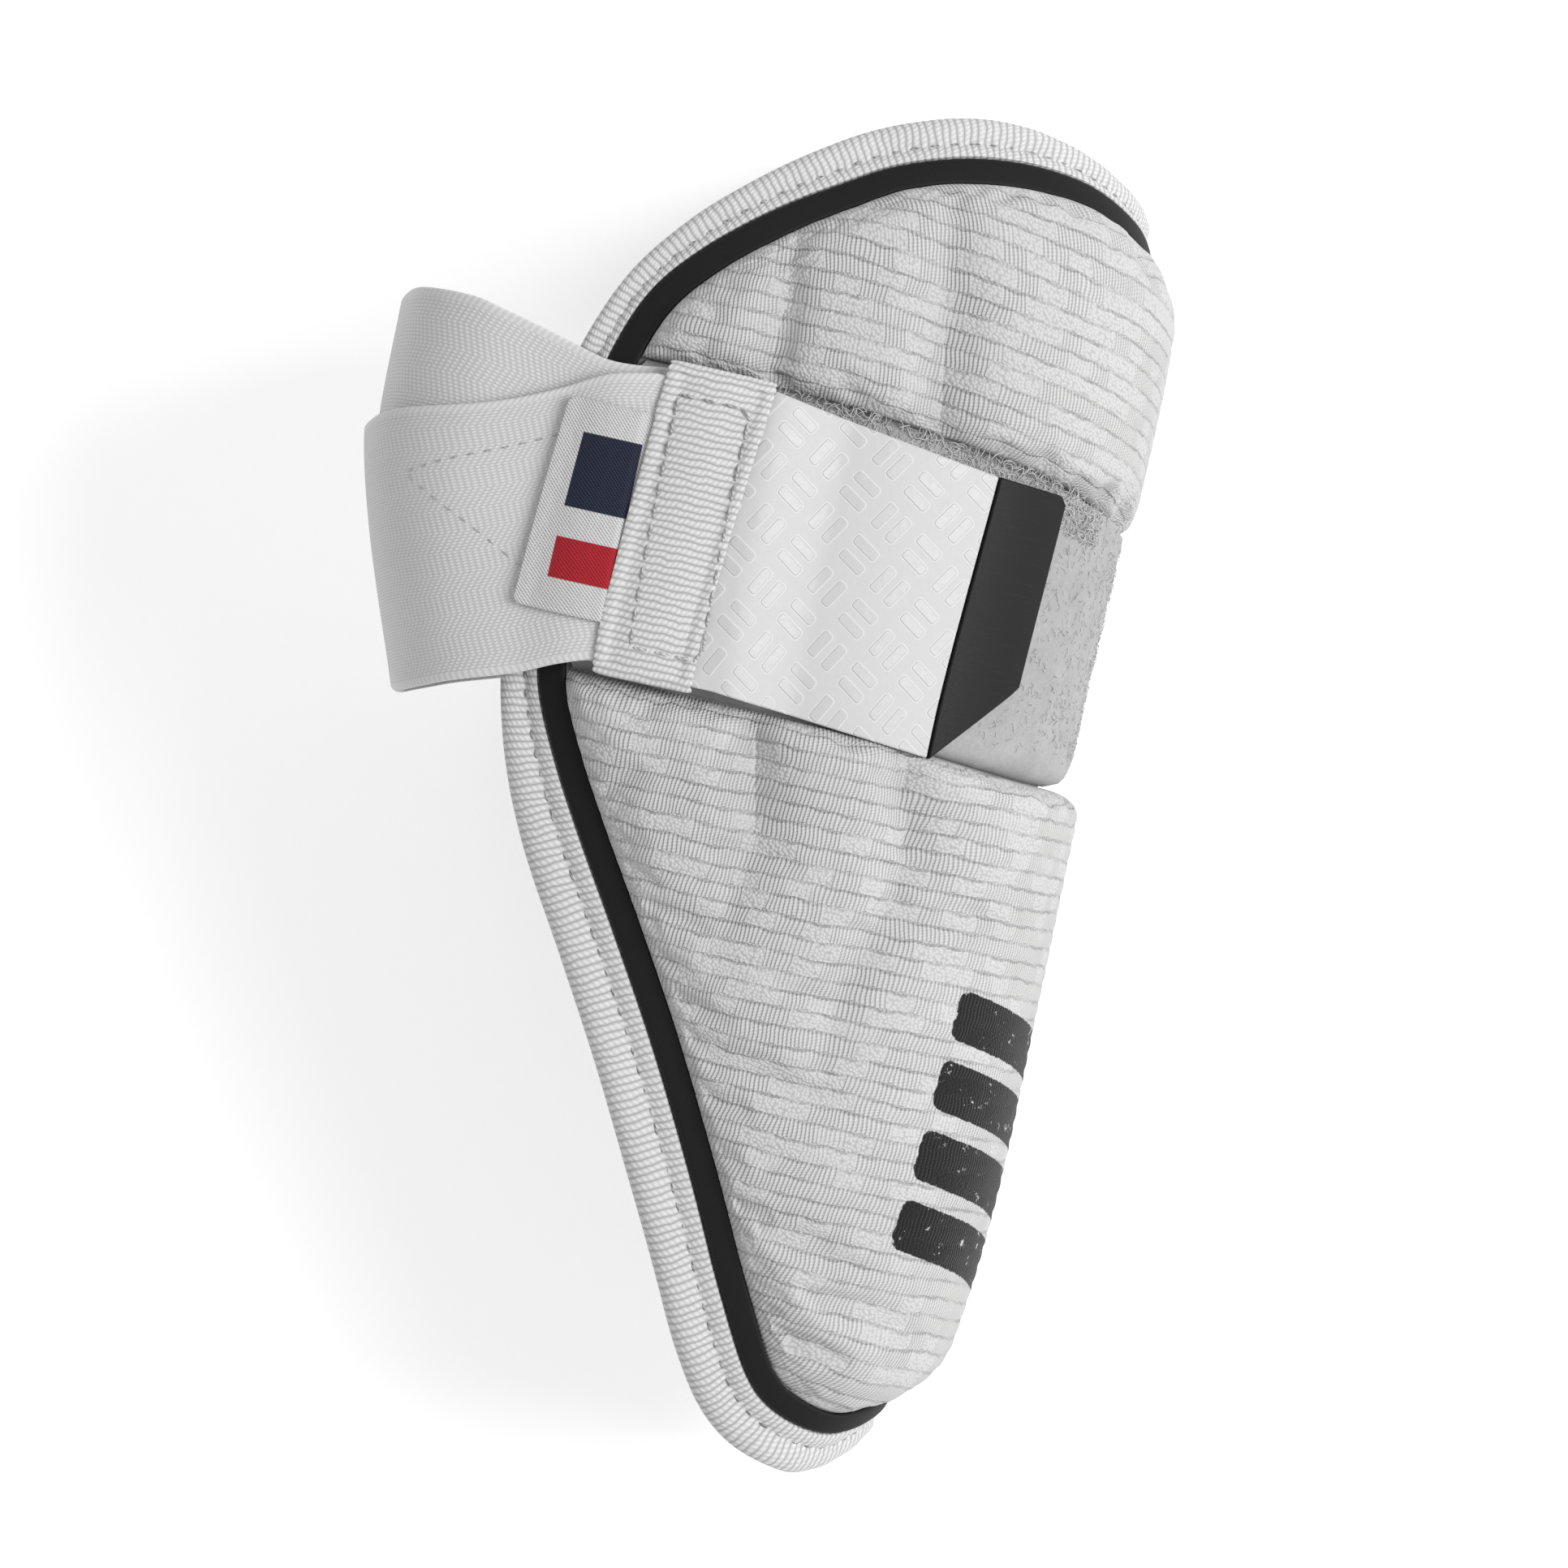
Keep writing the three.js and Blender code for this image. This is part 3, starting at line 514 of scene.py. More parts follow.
def grid_piece(
    name: str, outer: Array, cloth: Array, inner: Array | None = None
) -> tuple[Piece, Array]:
    """Makes a piece from a bmesh grid whose vertices go to given places.

    Args:
        name: The piece's name.
        outer: Places of the outer skin in the row frame, (rows + 1, columns + 1, 3).
        cloth: The cloth's own coordinates in mm, (rows + 1, columns + 1, 2).
        inner: Places of the inner skin, where the piece is a closed slab. Without it the grid
            closes on itself at its ends.

    Returns:
        The piece, and the row, column and skin of each vertex of a slab.
    """
    rows, columns = outer.shape[0] - 1, outer.shape[1] - 1
    bm = bmesh.new()
    bmesh.ops.create_grid(bm, x_segments=columns, y_segments=rows, size=0.5)
    if inner is not None:
        made = bmesh.ops.extrude_face_region(bm, geom=bm.faces[:], use_keep_orig=True)["geom"]
        raised = [part for part in made if isinstance(part, bmesh.types.BMVert)]
        bmesh.ops.translate(bm, verts=raised, vec=(0, 0, 1))
    mesh = mesh_of(bm, name)
    flat = np.empty(3 * len(mesh.vertices), np.float32)
    mesh.vertices.foreach_get("co", flat)
    flat = flat.reshape(-1, 3)
    column = np.rint((flat[:, 0] + 0.5) * columns).astype(int)
    row = np.rint((flat[:, 1] + 0.5) * rows).astype(int)
    skin = np.rint(flat[:, 2]).astype(int)
    places = outer[row, column]
    if inner is not None:
        places = np.where(skin[:, None] == Skin.OUTER.value, places, inner[row, column])
    mesh.vertices.foreach_set("co", places.astype(np.float32).ravel())
    corner = np.empty(len(mesh.loops), np.int32)
    mesh.loops.foreach_get("vertex_index", corner)
    layer = mesh.uv_layers.new(name=CLOTH_MAP)
    layer.uv.foreach_set("vector", cloth[row, column][corner].astype(np.float32).ravel())
    piece = in_scene(name, mesh)
    tidy_mesh(piece, merge=inner is None)
    return piece, np.stack([row, column, skin], -1)


def tidy_mesh(piece: Piece, merge: bool, crease: float = 42.0) -> None:
    """Closes seams, turns the faces outwards and smooths all but sharp edges.

    Args:
        piece: The piece.
        merge: Whether vertices at one place become one.
        crease: The angle in degrees from which an edge stays sharp.
    """
    bm = bmesh.new()
    bm.from_mesh(piece.data)
    if merge:
        bmesh.ops.remove_doubles(bm, verts=bm.verts, dist=2e-6)
    bmesh.ops.recalc_face_normals(bm, faces=bm.faces)
    bm.to_mesh(piece.data)
    bm.free()
    piece.data.shade_smooth()
    piece.data.set_sharp_from_angle(angle=math.radians(crease))


def soften(piece: Piece, width: float, segments: int = 2) -> None:
    """Rounds a slab's edges with a bevel of a width in mm."""
    bevel = piece.modifiers.new("Rounded edges", "BEVEL")
    bevel.width = width * MM
    bevel.segments = segments
    bevel.limit_method = "ANGLE"
    bevel.angle_limit = math.radians(50)
    bevel.harden_normals = False


def copies(name: str, seed_piece: bpy.types.Mesh, places: list[Matrix]) -> Piece:
    """One piece from many copies of a small mesh.

    Args:
        name: The piece's name.
        seed_piece: The small mesh, which is used up.
        places: Where each copy goes, in the row frame.

    Returns:
        The piece.
    """
    bm = bmesh.new()
    for place in places:
        one = seed_piece.copy()
        one.transform(place)
        bm.from_mesh(one)
        bpy.data.meshes.remove(one)
    bpy.data.meshes.remove(seed_piece)
    mesh = mesh_of(bm, name)
    mesh.shade_smooth()
    return in_scene(name, mesh)


def linear(colour: str) -> tuple[float, float, float, float]:
    """An sRGB hex colour as linear red, green, blue and 1."""
    parts = (int(colour[i : i + 2], 16) / 255 for i in (0, 2, 4))
    red, green, blue = (c / 12.92 if c <= 0.04045 else ((c + 0.055) / 1.055) ** 2.4 for c in parts)
    return red, green, blue, 1.0


class Graph:
    """A material while its nodes are put together."""

    def __init__(self, name: str) -> None:
        """Starts an empty material.

        Args:
            name: The material's name.
        """
        self.material = bpy.data.materials.new(name)
        self.material.use_nodes = True
        self.tree = self.material.node_tree
        self.tree.nodes.clear()

    def add(self, kind: str, *inputs: object, **named: object) -> Socket:
        """Adds a node with its settings and links.

        Args:
            kind: The node's type without ShaderNode, or the operation of a Math node in capitals.
            inputs: Sockets, numbers or sRGB hex colours for its inputs, in order.
            named: The same by the input's name, which has a capital, with underscores for its
                spaces; and the node's own properties, which have none.

        Returns:
            Its first output that is in use, or None for a material output.
        """
        node = self.tree.nodes.new("ShaderNode" + ("Math" if kind.isupper() else kind))
        if kind.isupper():
            node.operation = kind
        for key in filter(str.islower, named):
            setattr(node, key, named[key])
        slots = {slot.name.replace(" ", "_"): slot for slot in node.inputs if slot.enabled}
        by_name = [(slots[key], value) for key, value in named.items() if not key.islower()]
        for slot, value in [*zip(node.inputs, inputs), *by_name]:
            if isinstance(value, Socket):
                self.tree.links.new(value, slot)
            else:
                slot.default_value = linear(value) if isinstance(value, str) else value
        return next((s for s in node.outputs if s.enabled), None)

    def axes(self) -> tuple[Socket, Socket, Socket]:
        """The cloth's coordinates in mm: the vector, along the thread and across it."""
        vector = self.add("UVMap", uv_map=CLOTH_MAP)
        split = self.add("SeparateXYZ", vector).node
        return vector, split.outputs["X"], split.outputs["Y"]

    def sine(self, value: Socket, times: float = math.tau) -> Socket:
        """The sine of a multiple of a value, by default of whole turns."""
        return self.add("SINE", self.add("MULTIPLY", value, times))

    def off(self, value: Socket, middle: float) -> Socket:
        """How far a value is from a middle."""
        return self.add("ABSOLUTE", self.add("SUBTRACT", value, middle))

    def box(self, place: tuple[Socket, Socket], half: tuple[float, float], corner: float) -> Socket:
        """How far a place is from the centre of a box's rounded corner.

        Args:
            place: The distances from the box's centre, both positive.
            half: The box's half sizes.
            corner: The radius of its corners, which is the answer on its outline.

        Returns:
            The distance, which is 0 in the middle of the box.
        """
        past = (self.add("SUBTRACT", axis, size - corner) for axis, size in zip(place, half))
        corner_to = self.add("CombineXYZ", *[self.add("MAXIMUM", axis, 0.0) for axis in past])
        return self.add("VectorMath", corner_to, operation="LENGTH").node.outputs["Value"]

    def shade(self, colour: object, height: object, depth: float, **shader: object) -> bpy.types.Material:
        """Ends the material with a bumped principled shader.

        Args:
            colour: The base colour.
            height: The relief, where 1 is one millimetre.
            depth: The bump's strength.
            shader: The shader's other inputs, named as add names them.

        Returns:
            The material.
        """
        bump = self.add("Bump", Strength=depth, Distance=MM, Height=height)
        self.add("OutputMaterial", self.add("BsdfPrincipled", Base_Color=colour, Normal=bump, **shader))
        return self.material


@dataclass(frozen=True)
class KnitCover:
    """Polyester jacquard knit, loop-knitted and stretched over foam.

    Rows of shallow creases cross it, and between them short blocks of chain ribs take turns with
    blocks of seed stitch, which gives the eye a soft matt grain. Painted shade darkens the
    colour in the creases and in the stitches' low parts.
    """

    name: str = "jacquard_knit_polyester"
    # crest is the raised stitches' colour; valley is painted shade in the creases and hollows.
    crest: str = "CFCFCF"
    valley: str = "7E7E7E"
    row_pitch: float = 2.95
    seeded: float = 0.5
    block: float = 4.2
    wale: float = 0.65
    course: float = 0.5
    printed: bool = False

    def material(self) -> bpy.types.Material:
        """The material."""
        g = Graph(self.name)
        vector, u, v = g.axes()
        wander = g.add("TexNoise", Vector=vector, Scale=0.11, Detail=2.0, noise_dimensions="2D")
        sway = g.add("SUBTRACT", wander, 0.5)
        v1 = g.add("MULTIPLY_ADD", sway, 1.1, v)
        u1 = g.add("MULTIPLY_ADD", sway, 1.6, u)
        row = g.add("FLOOR", g.add("DIVIDE", v1, self.row_pitch))
        cell = g.add("MULTIPLY_ADD", u1, 1 / self.block, g.add("MULTIPLY", row, 0.5))
        arc = g.add("ABSOLUTE", g.sine(cell, math.pi))
        loop = g.add("ABSOLUTE", g.sine(u1, math.pi / self.wale))
        v2 = g.add(
            "DIVIDE",
            g.add("MULTIPLY_ADD", loop, 0.14, g.add("MULTIPLY_ADD", arc, 0.3, v1)),
            self.row_pitch,
        )
        off = g.off(g.add("FRACT", v2), 0.5)
        line = g.add("MapRange", off, 0.4, 0.49, 0.0, 1.0, interpolation_type="SMOOTHSTEP")
        along = g.add("CombineXYZ", g.add("MULTIPLY", u1, 0.13), g.add("MULTIPLY", row, 7.7))
        broken = g.add("TexNoise", Vector=along, Scale=1.0, Detail=1.0, noise_dimensions="2D")
        strong = g.add("MapRange", broken, 0.38, 0.62, 0.45, 1.0)
        crease = g.add("MULTIPLY", line, strong)
        block_at = g.add("CombineXYZ", g.add("FLOOR", cell), row)
        lot = g.add("TexWhiteNoise", block_at, noise_dimensions="2D")
        ribbed = g.add("MapRange", lot, self.seeded - 0.08, self.seeded + 0.08, 0.0, 1.0)
        rib_at = g.add("MULTIPLY", u1, 1 / self.wale)
        rib_wave = g.add("COSINE", g.add("MULTIPLY", rib_at, math.tau))
        turned = g.sine(g.add("FLOOR", rib_at), math.pi)
        stitch_at = g.add("MULTIPLY_ADD", v1, math.tau / self.course, g.add("MULTIPLY", rib_at, math.pi))
        stitch = g.add("SINE", g.add("ADD", stitch_at, turned))
        gap = g.add("POWER", g.add("MULTIPLY_ADD", rib_wave, -0.5, 0.5), 2.2)
        chain = g.add("ADD", g.add("MULTIPLY_ADD", gap, -0.85, 0.85), g.add("MULTIPLY", stitch, 0.16))
        bead = g.add("TexVoronoi", Vector=vector, Scale=1.75, Randomness=0.8, voronoi_dimensions="2D")
        seed = g.add("MULTIPLY_ADD", bead, -1.1, 1.05)
        fine = g.add("Mix", ribbed, A=seed, B=chain, data_type="FLOAT")
        height = g.add("SUBTRACT", g.add("MULTIPLY", fine, 0.34), g.add("MULTIPLY", crease, 0.5))
        # Painted shade: the colour darkens in the stitches' low parts and in the creases; patch adds random
        # tone.
        knit_shade_and_tone = g.add("ADD", g.add("MULTIPLY_ADD", fine, -0.46, 0.46), g.add("MULTIPLY", crease, 0.3))
        patch = g.add("TexNoise", Vector=vector, Scale=0.045, Detail=3.0, noise_dimensions="2D")
        knit_shade_and_tone = g.add("MULTIPLY_ADD", patch, 0.14, knit_shade_and_tone, use_clamp=True)
        colour = g.add("Mix", knit_shade_and_tone, A=self.crest, B=self.valley, data_type="RGBA")
        if self.printed:
            ink = Print().mask(g, vector, u, v)
            colour = g.add("Mix", ink, A=colour, B="161616", data_type="RGBA")
            height = g.add("MULTIPLY", height, g.add("MULTIPLY_ADD", ink, -0.45, 1.0))
        return g.shade(
            colour,
            height,
            0.75,
            Roughness=0.88,
            Sheen_Weight=0.12,
            Sheen_Roughness=0.5,
            Specular_IOR_Level=0.25,
        )


@dataclass(frozen=True)
class Print:
    """Screen-printed black bars across the ridge, a little worn."""

    foot: float = -77.5
    pitch: float = 11.6
    bars: int = 4
    half_height: float = 4.1
    reach: float = 37.0
    corner: float = 1.7
    slant: float = -0.16

    def mask(self, g: Graph, vector: Socket, u: Socket, v: Socket) -> Socket:
        """Where there is ink.

        Args:
            g: The material's graph.
            vector: The cloth's coordinates.
            u: Millimetres across, from the ridge.
            v: Millimetres along the arm.

        Returns:
            1 on ink and 0 off it.
        """
        out = g.add("ABSOLUTE", u)
        level = g.add("SUBTRACT", g.add("MULTIPLY_ADD", out, self.slant, v), self.foot)
        turn = g.add("DIVIDE", level, self.pitch)
        near = g.add("SUBTRACT", g.add("FRACT", turn), 0.5)
        tall = g.add("ABSOLUTE", g.add("MULTIPLY", near, self.pitch))
        away = g.box((out, tall), (self.reach, self.half_height), self.corner)
        rough = g.add("TexNoise", Vector=vector, Scale=1.1, Detail=4.0, noise_dimensions="2D")
        edge = g.add("MULTIPLY_ADD", g.add("SUBTRACT", rough, 0.5), 0.5, away)
        inside = g.add("MapRange", edge, self.corner + 0.08, self.corner - 0.08, 0.0, 1.0)
        above = g.add("GREATER_THAN", turn, 0.0)
        below = g.add("LESS_THAN", turn, float(self.bars))
        span = g.add("MULTIPLY", g.add("MULTIPLY", above, below), inside)
        worn = g.add(
            "TexNoise", Vector=vector, Scale=0.3, Detail=7.0, Roughness=0.72, noise_dimensions="2D"
        )
        kept = g.add("MapRange", worn, 0.64, 0.655, 1.0, 0.0)
        return g.add("MULTIPLY", span, kept)


@dataclass(frozen=True)
class Grosgrain:
    """Polyester grosgrain tape, woven with thick ribs across its run, each a row of slanted picks."""

    name: str
    rib: float = 1.27
    pick: float = 0.85
    # crest is the ribs' colour; valley is painted shade between the ribs and picks.
    crest: str = "D2D2D2"
    valley: str = "A2A2A2"

    def material(self) -> bpy.types.Material:
        """The material."""
        g = Graph(self.name)
        vector, u, v = g.axes()
        wander = g.add("TexNoise", Vector=vector, Scale=0.35, Detail=2.0, noise_dimensions="2D")
        u1 = g.add("MULTIPLY_ADD", g.add("SUBTRACT", wander, 0.5), 0.7, u)
        turn = g.add("DIVIDE", u1, self.rib)
        inside = g.add("FRACT", turn)
        crown = g.sine(inside, math.pi)
        rib = g.add("POWER", crown, 0.85)
        step = g.add("MULTIPLY", g.add("FLOOR", turn), 0.5)
        slant = g.add("MULTIPLY_ADD", inside, 0.55, step)
        pick_at = g.add("MULTIPLY_ADD", v, 1 / self.pick, slant)
        pick = g.sine(pick_at)
        share = g.add("MULTIPLY_ADD", pick, 0.2, 0.78)
        relief = g.add("MULTIPLY", rib, share)
        grime = g.add("TexNoise", Vector=vector, Scale=0.08, Detail=3.0, noise_dimensions="2D")
        # Painted shade: the colour darkens between the ribs and picks, under random grime.
        relief_shade_and_tone = g.add(
            "ADD",
            g.add("MULTIPLY", relief, 1.25),
            g.add("MULTIPLY_ADD", grime, -0.22, 0.06),
            use_clamp=True,
        )
        colour = g.add("Mix", relief_shade_and_tone, A=self.valley, B=self.crest, data_type="RGBA")
        height = g.add("MULTIPLY", relief, 0.34)
        return g.shade(colour, height, 0.6, Roughness=0.8, Sheen_Weight=0.1, Specular_IOR_Level=0.3)


@dataclass(frozen=True)
class WovenElastic:
    """Woven elastic: rows of short flat dashes that step sideways, with a looped selvedge."""

    name: str = "woven_elastic_polyester"
    row: float = 0.54
    dash: float = 1.15
    selvedge: float = 1.5
    width: float = 50.0
    # crest is the weave's colour; valley is painted shade between its dashes and rows.
    crest: str = "D6D6D6"
    valley: str = "B9B9B9"

    def material(self) -> bpy.types.Material:
        """The material."""
        g = Graph(self.name)
        vector, u, v = g.axes()
        turn = g.add("DIVIDE", v, self.row)
        inside = g.add("FRACT", turn)
        crown = g.sine(inside, math.pi)
        index = g.add("FLOOR", turn)
        zigzag = g.add("PINGPONG", index, 7.0)
        dash_at = g.add("MULTIPLY_ADD", u, 1 / self.dash, g.add("MULTIPLY", zigzag, 0.2))
        dash = g.sine(dash_at)
        weave = g.add("MULTIPLY", g.add("POWER", crown, 0.6), g.add("MULTIPLY_ADD", dash, 0.36, 0.64))
        from_middle = g.off(v, self.width / 2)
        edge = g.add(
            "MapRange",
            from_middle,
            self.width / 2 - self.selvedge,
            self.width / 2 - self.selvedge + 0.2,
            0.0,
            1.0,
        )
        loop_at = g.add("MULTIPLY_ADD", u, 1 / 1.2, g.add("MULTIPLY", from_middle, 0.45))
        loop = g.add("MULTIPLY_ADD", g.sine(loop_at), 0.24, 0.62)
        relief = g.add("Mix", edge, A=weave, B=loop, data_type="FLOAT")
        cloudy = g.add("TexNoise", Vector=vector, Scale=0.07, Detail=3.0, noise_dimensions="2D")
        # Painted shade: the colour darkens in the weave's low parts, with random cloudy tone.
        relief_shade_and_tone = g.add("ADD", relief, g.add("MULTIPLY_ADD", cloudy, -0.16, 0.12), use_clamp=True)
        colour = g.add("Mix", relief_shade_and_tone, A=self.valley, B=self.crest, data_type="RGBA")
        height = g.add("MULTIPLY", relief, 0.16)
        return g.shade(colour, height, 0.6, Roughness=0.82, Sheen_Weight=0.1, Specular_IOR_Level=0.3)


@dataclass(frozen=True)
class BrushedLining:
    """Brushed nylon tricot against the arm: fine wales under a short nap."""

    name: str = "brushed_tricot_lining"

    def material(self) -> bpy.types.Material:
        """The material."""
        g = Graph(self.name)
        vector, u, _ = g.axes()
        wale = g.sine(u, math.tau / 1.1)
        nap = g.add("TexNoise", Vector=vector, Scale=1.6, Detail=5.0, Roughness=0.7, noise_dimensions="2D")
        relief = g.add("MULTIPLY_ADD", wale, 0.12, nap)
        cloudy = g.add("TexNoise", Vector=vector, Scale=0.05, Detail=3.0, noise_dimensions="2D")
        # Painted shade: the colour darkens in the nap's and wales' low parts, with random cloudy tone.
        relief_shade_and_tone = g.add(
            "ADD",
            g.add("MULTIPLY_ADD", relief, 1.1, -0.2),
            g.add("MULTIPLY", cloudy, 0.3),
            use_clamp=True,
        )
        colour = g.add("Mix", relief_shade_and_tone, A="9A9A9A", B="C2C2C2", data_type="RGBA")
        height = g.add("MULTIPLY", relief, 0.35)
        return g.shade(
            colour,
            height,
            0.8,
            Roughness=0.95,
            Sheen_Weight=0.3,
            Sheen_Roughness=0.6,
            Specular_IOR_Level=0.2,
        )


@dataclass(frozen=True)
class BlackTrim:
    """Black thermoplastic polyurethane strip, moulded and matt, with a painted highlight at its edges."""

    name: str = "moulded_black_polyurethane"
    colour: str = "121212"
    # The paler colour of the painted highlight along the strip's edges.
    edge_highlight: str = "2E2E2E"
    width: float = 4.4

    def material(self) -> bpy.types.Material:
        """The material."""
        g = Graph(self.name)
        vector, _, v = g.axes()
        grain = g.add("TexNoise", Vector=vector, Scale=2.4, Detail=3.0, noise_dimensions="2D")
        # A painted highlight, mottled by the grain, lightens the strip within half a millimetre of its
        # edges.
        edge = g.off(v, self.width / 2)
        worn = g.add("MapRange", edge, self.width / 2 - 0.5, self.width / 2, 0.0, 1.0)
        edge_highlight_share = g.add("MULTIPLY", worn, g.add("MULTIPLY_ADD", grain, 0.9, 0.1), use_clamp=True)
        colour = g.add("Mix", edge_highlight_share, A=self.colour, B=self.edge_highlight, data_type="RGBA")
        height = g.add("MULTIPLY", grain, 0.04)
        rough = g.add("MULTIPLY_ADD", grain, 0.16, 0.6)
        return g.shade(colour, height, 0.6, Roughness=rough, Specular_IOR_Level=0.2)


@dataclass(frozen=True)
class LoopPile:
    """Napped nylon loop pile: a cloudy felt of curled fibres."""

    name: str = "napped_nylon_loop"
    # The dark colour is painted shade between the tufts and curls, the light one their tops.
    dark: str = "8E8E8E"
    light: str = "ACACAC"

    def material(self) -> bpy.types.Material:
        """The material."""
        g = Graph(self.name)
        vector = g.add("TexCoord").node.outputs["Object"]
        tuft = g.add("TexNoise", Vector=vector, Scale=520.0, Detail=6.0, Roughness=0.75, Distortion=1.4)
        curl = g.add("TexVoronoi", Vector=vector, Scale=900.0, feature="DISTANCE_TO_EDGE")
        cloudy = g.add("TexNoise", Vector=vector, Scale=120.0, Detail=3.0)
        relief = g.add("MULTIPLY_ADD", curl, 0.5, tuft)
        # Painted shade: the colour darkens between tufts and curls, with random cloudy tone.
        relief_shade_and_tone = g.add("ADD", g.add("MULTIPLY_ADD", relief, 0.9, -0.5), cloudy, use_clamp=True)
        colour = g.add("Mix", relief_shade_and_tone, A=self.dark, B=self.light, data_type="RGBA")
        height = g.add("MULTIPLY", relief, 0.13)
        return g.shade(
            colour,
            height,
            0.6,
            Roughness=0.95,
            Sheen_Weight=0.1,
            Sheen_Roughness=0.5,
            Specular_IOR_Level=0.15,
        )


@dataclass(frozen=True)
class Thread:
    """Twisted polyester sewing thread."""

    name: str = "twisted_polyester_thread"
    # The dark colour is painted shade in the twist's grooves.
    dark: str = "6C6C6C"
    light: str = "A6A6A6"

    def material(self) -> bpy.types.Material:
        """The material."""
        g = Graph(self.name)
        vector = g.add("TexCoord").node.outputs["Object"]
        twist = g.add(
            "TexWave", Vector=vector, Scale=620.0, Distortion=2.0, Detail=1.0, bands_direction="DIAGONAL"
        )
        # Painted shade: the colour darkens in the twist's grooves.
        colour = g.add("Mix", twist, A=self.dark, B=self.light, data_type="RGBA")
        height = g.add("MULTIPLY", twist, 0.06)
        return g.shade(colour, height, 0.7, Roughness=0.6, Sheen_Weight=0.1, Specular_IOR_Level=0.35)


@dataclass(frozen=True)
class Fibre:
    """Drawn nylon fibre of the loop pile, a little shiny."""

    name: str = "drawn_nylon_fibre"

    def material(self) -> bpy.types.Material:
        """The material."""
        g = Graph(self.name)
        vector = g.add("TexCoord").node.outputs["Object"]
        tone = g.add("TexNoise", Vector=vector, Scale=400.0, Detail=2.0)
        colour = g.add("Mix", tone, A="A6A6A6", B="D0D0D0", data_type="RGBA")
        return g.shade(colour, tone, 0.1, Roughness=0.55, Specular_IOR_Level=0.4)


@dataclass(frozen=True)
class MouldedTab:
    """Pale thermoplastic polyurethane, moulded with raised glossy bars on a satin ground."""

    name: str = "moulded_clear_polyurethane"
    ground: str = "BEBEBE"
    film: str = "BABABA"
    cell: float = 7.4
    bar: tuple[float, float] = (2.5, 0.95)
    corner: float = 0.6
    lean: float = 0.56

    def material(self) -> bpy.types.Material:
        """The material."""
        g = Graph(self.name)
        vector, _, _ = g.axes()
        leaned = g.add("VectorRotate", Vector=vector, Angle=self.lean, rotation_type="Z_AXIS")
        scaled = g.add("VectorMath", leaned, Scale=1 / self.cell, operation="SCALE")
        whole = g.add("VectorMath", scaled, operation="FLOOR")
        part = g.add(
            "SeparateXYZ",
            g.add(
                "VectorMath",
                g.add("VectorMath", scaled, operation="FRACTION"),
                (0.5, 0.5, 0.0),
                operation="SUBTRACT",
            ),
        ).node
        ids = g.add("SeparateXYZ", whole).node
        odd = g.add("FLOORED_MODULO", g.add("ADD", ids.outputs["X"], ids.outputs["Y"]), 2.0)
        x = g.add("Mix", odd, A=part.outputs["X"], B=part.outputs["Y"], data_type="FLOAT")
        y = g.add("Mix", odd, A=part.outputs["Y"], B=part.outputs["X"], data_type="FLOAT")
        length = g.add("ABSOLUTE", g.add("MULTIPLY", x, self.cell))
        side = g.add("ABSOLUTE", g.add("MULTIPLY", y, self.cell))
        pair = g.off(side, 1.65)
        away = g.box((length, pair), self.bar, self.corner)
        raised = g.add(
            "MapRange", away, self.corner, self.corner - 0.22, 0.0, 1.0, interpolation_type="SMOOTHSTEP"
        )
        # A painted highlight: a pale line along each bar's edge.
        rim = g.add("MapRange", g.off(away, self.corner), 0.0, 0.2, 1.0, 0.0)
        ripple = g.add("TexNoise", Vector=vector, Scale=0.9, Detail=3.0, noise_dimensions="2D")
        tone = g.add("Mix", raised, A=self.ground, B=self.film, data_type="RGBA")
        colour = g.add("Mix", g.add("MULTIPLY", rim, 0.55), A=tone, B="DEDEDE", data_type="RGBA")
        rough = g.add("MULTIPLY_ADD", raised, -0.2, g.add("MULTIPLY_ADD", ripple, 0.2, 0.42))
        height = g.add("MULTIPLY_ADD", raised, 0.16, g.add("MULTIPLY", ripple, 0.05))
        return g.shade(colour, height, 0.8, Roughness=rough, Specular_IOR_Level=0.3)


@dataclass(frozen=True)
class MouldedTabEnd:
    """Black thermoplastic polyurethane, moulded satin and finely scratched along its length."""

    name: str = "moulded_black_tab_polyurethane"

    def material(self) -> bpy.types.Material:
        """The material."""
        g = Graph(self.name)
        vector, _, _ = g.axes()
        grain = g.add("TexNoise", Vector=vector, Scale=1.8, Detail=4.0, noise_dimensions="2D")
        scratch = g.add(
            "TexNoise",
            Vector=g.add("VectorMath", vector, (0.25, 4.0, 1.0), operation="MULTIPLY"),
            Scale=0.5,
            Detail=2.0,
            noise_dimensions="2D",
        )
        fine = g.add("MapRange", scratch, 0.62, 0.7, 0.0, 0.35)
        colour = g.add("Mix", fine, A="111111", B="1C1C1C", data_type="RGBA")
        rough = g.add("MULTIPLY_ADD", grain, 0.14, 0.46)
        height = g.add("MULTIPLY", grain, 0.03)
        return g.shade(colour, height, 0.6, Roughness=rough, Specular_IOR_Level=0.25)


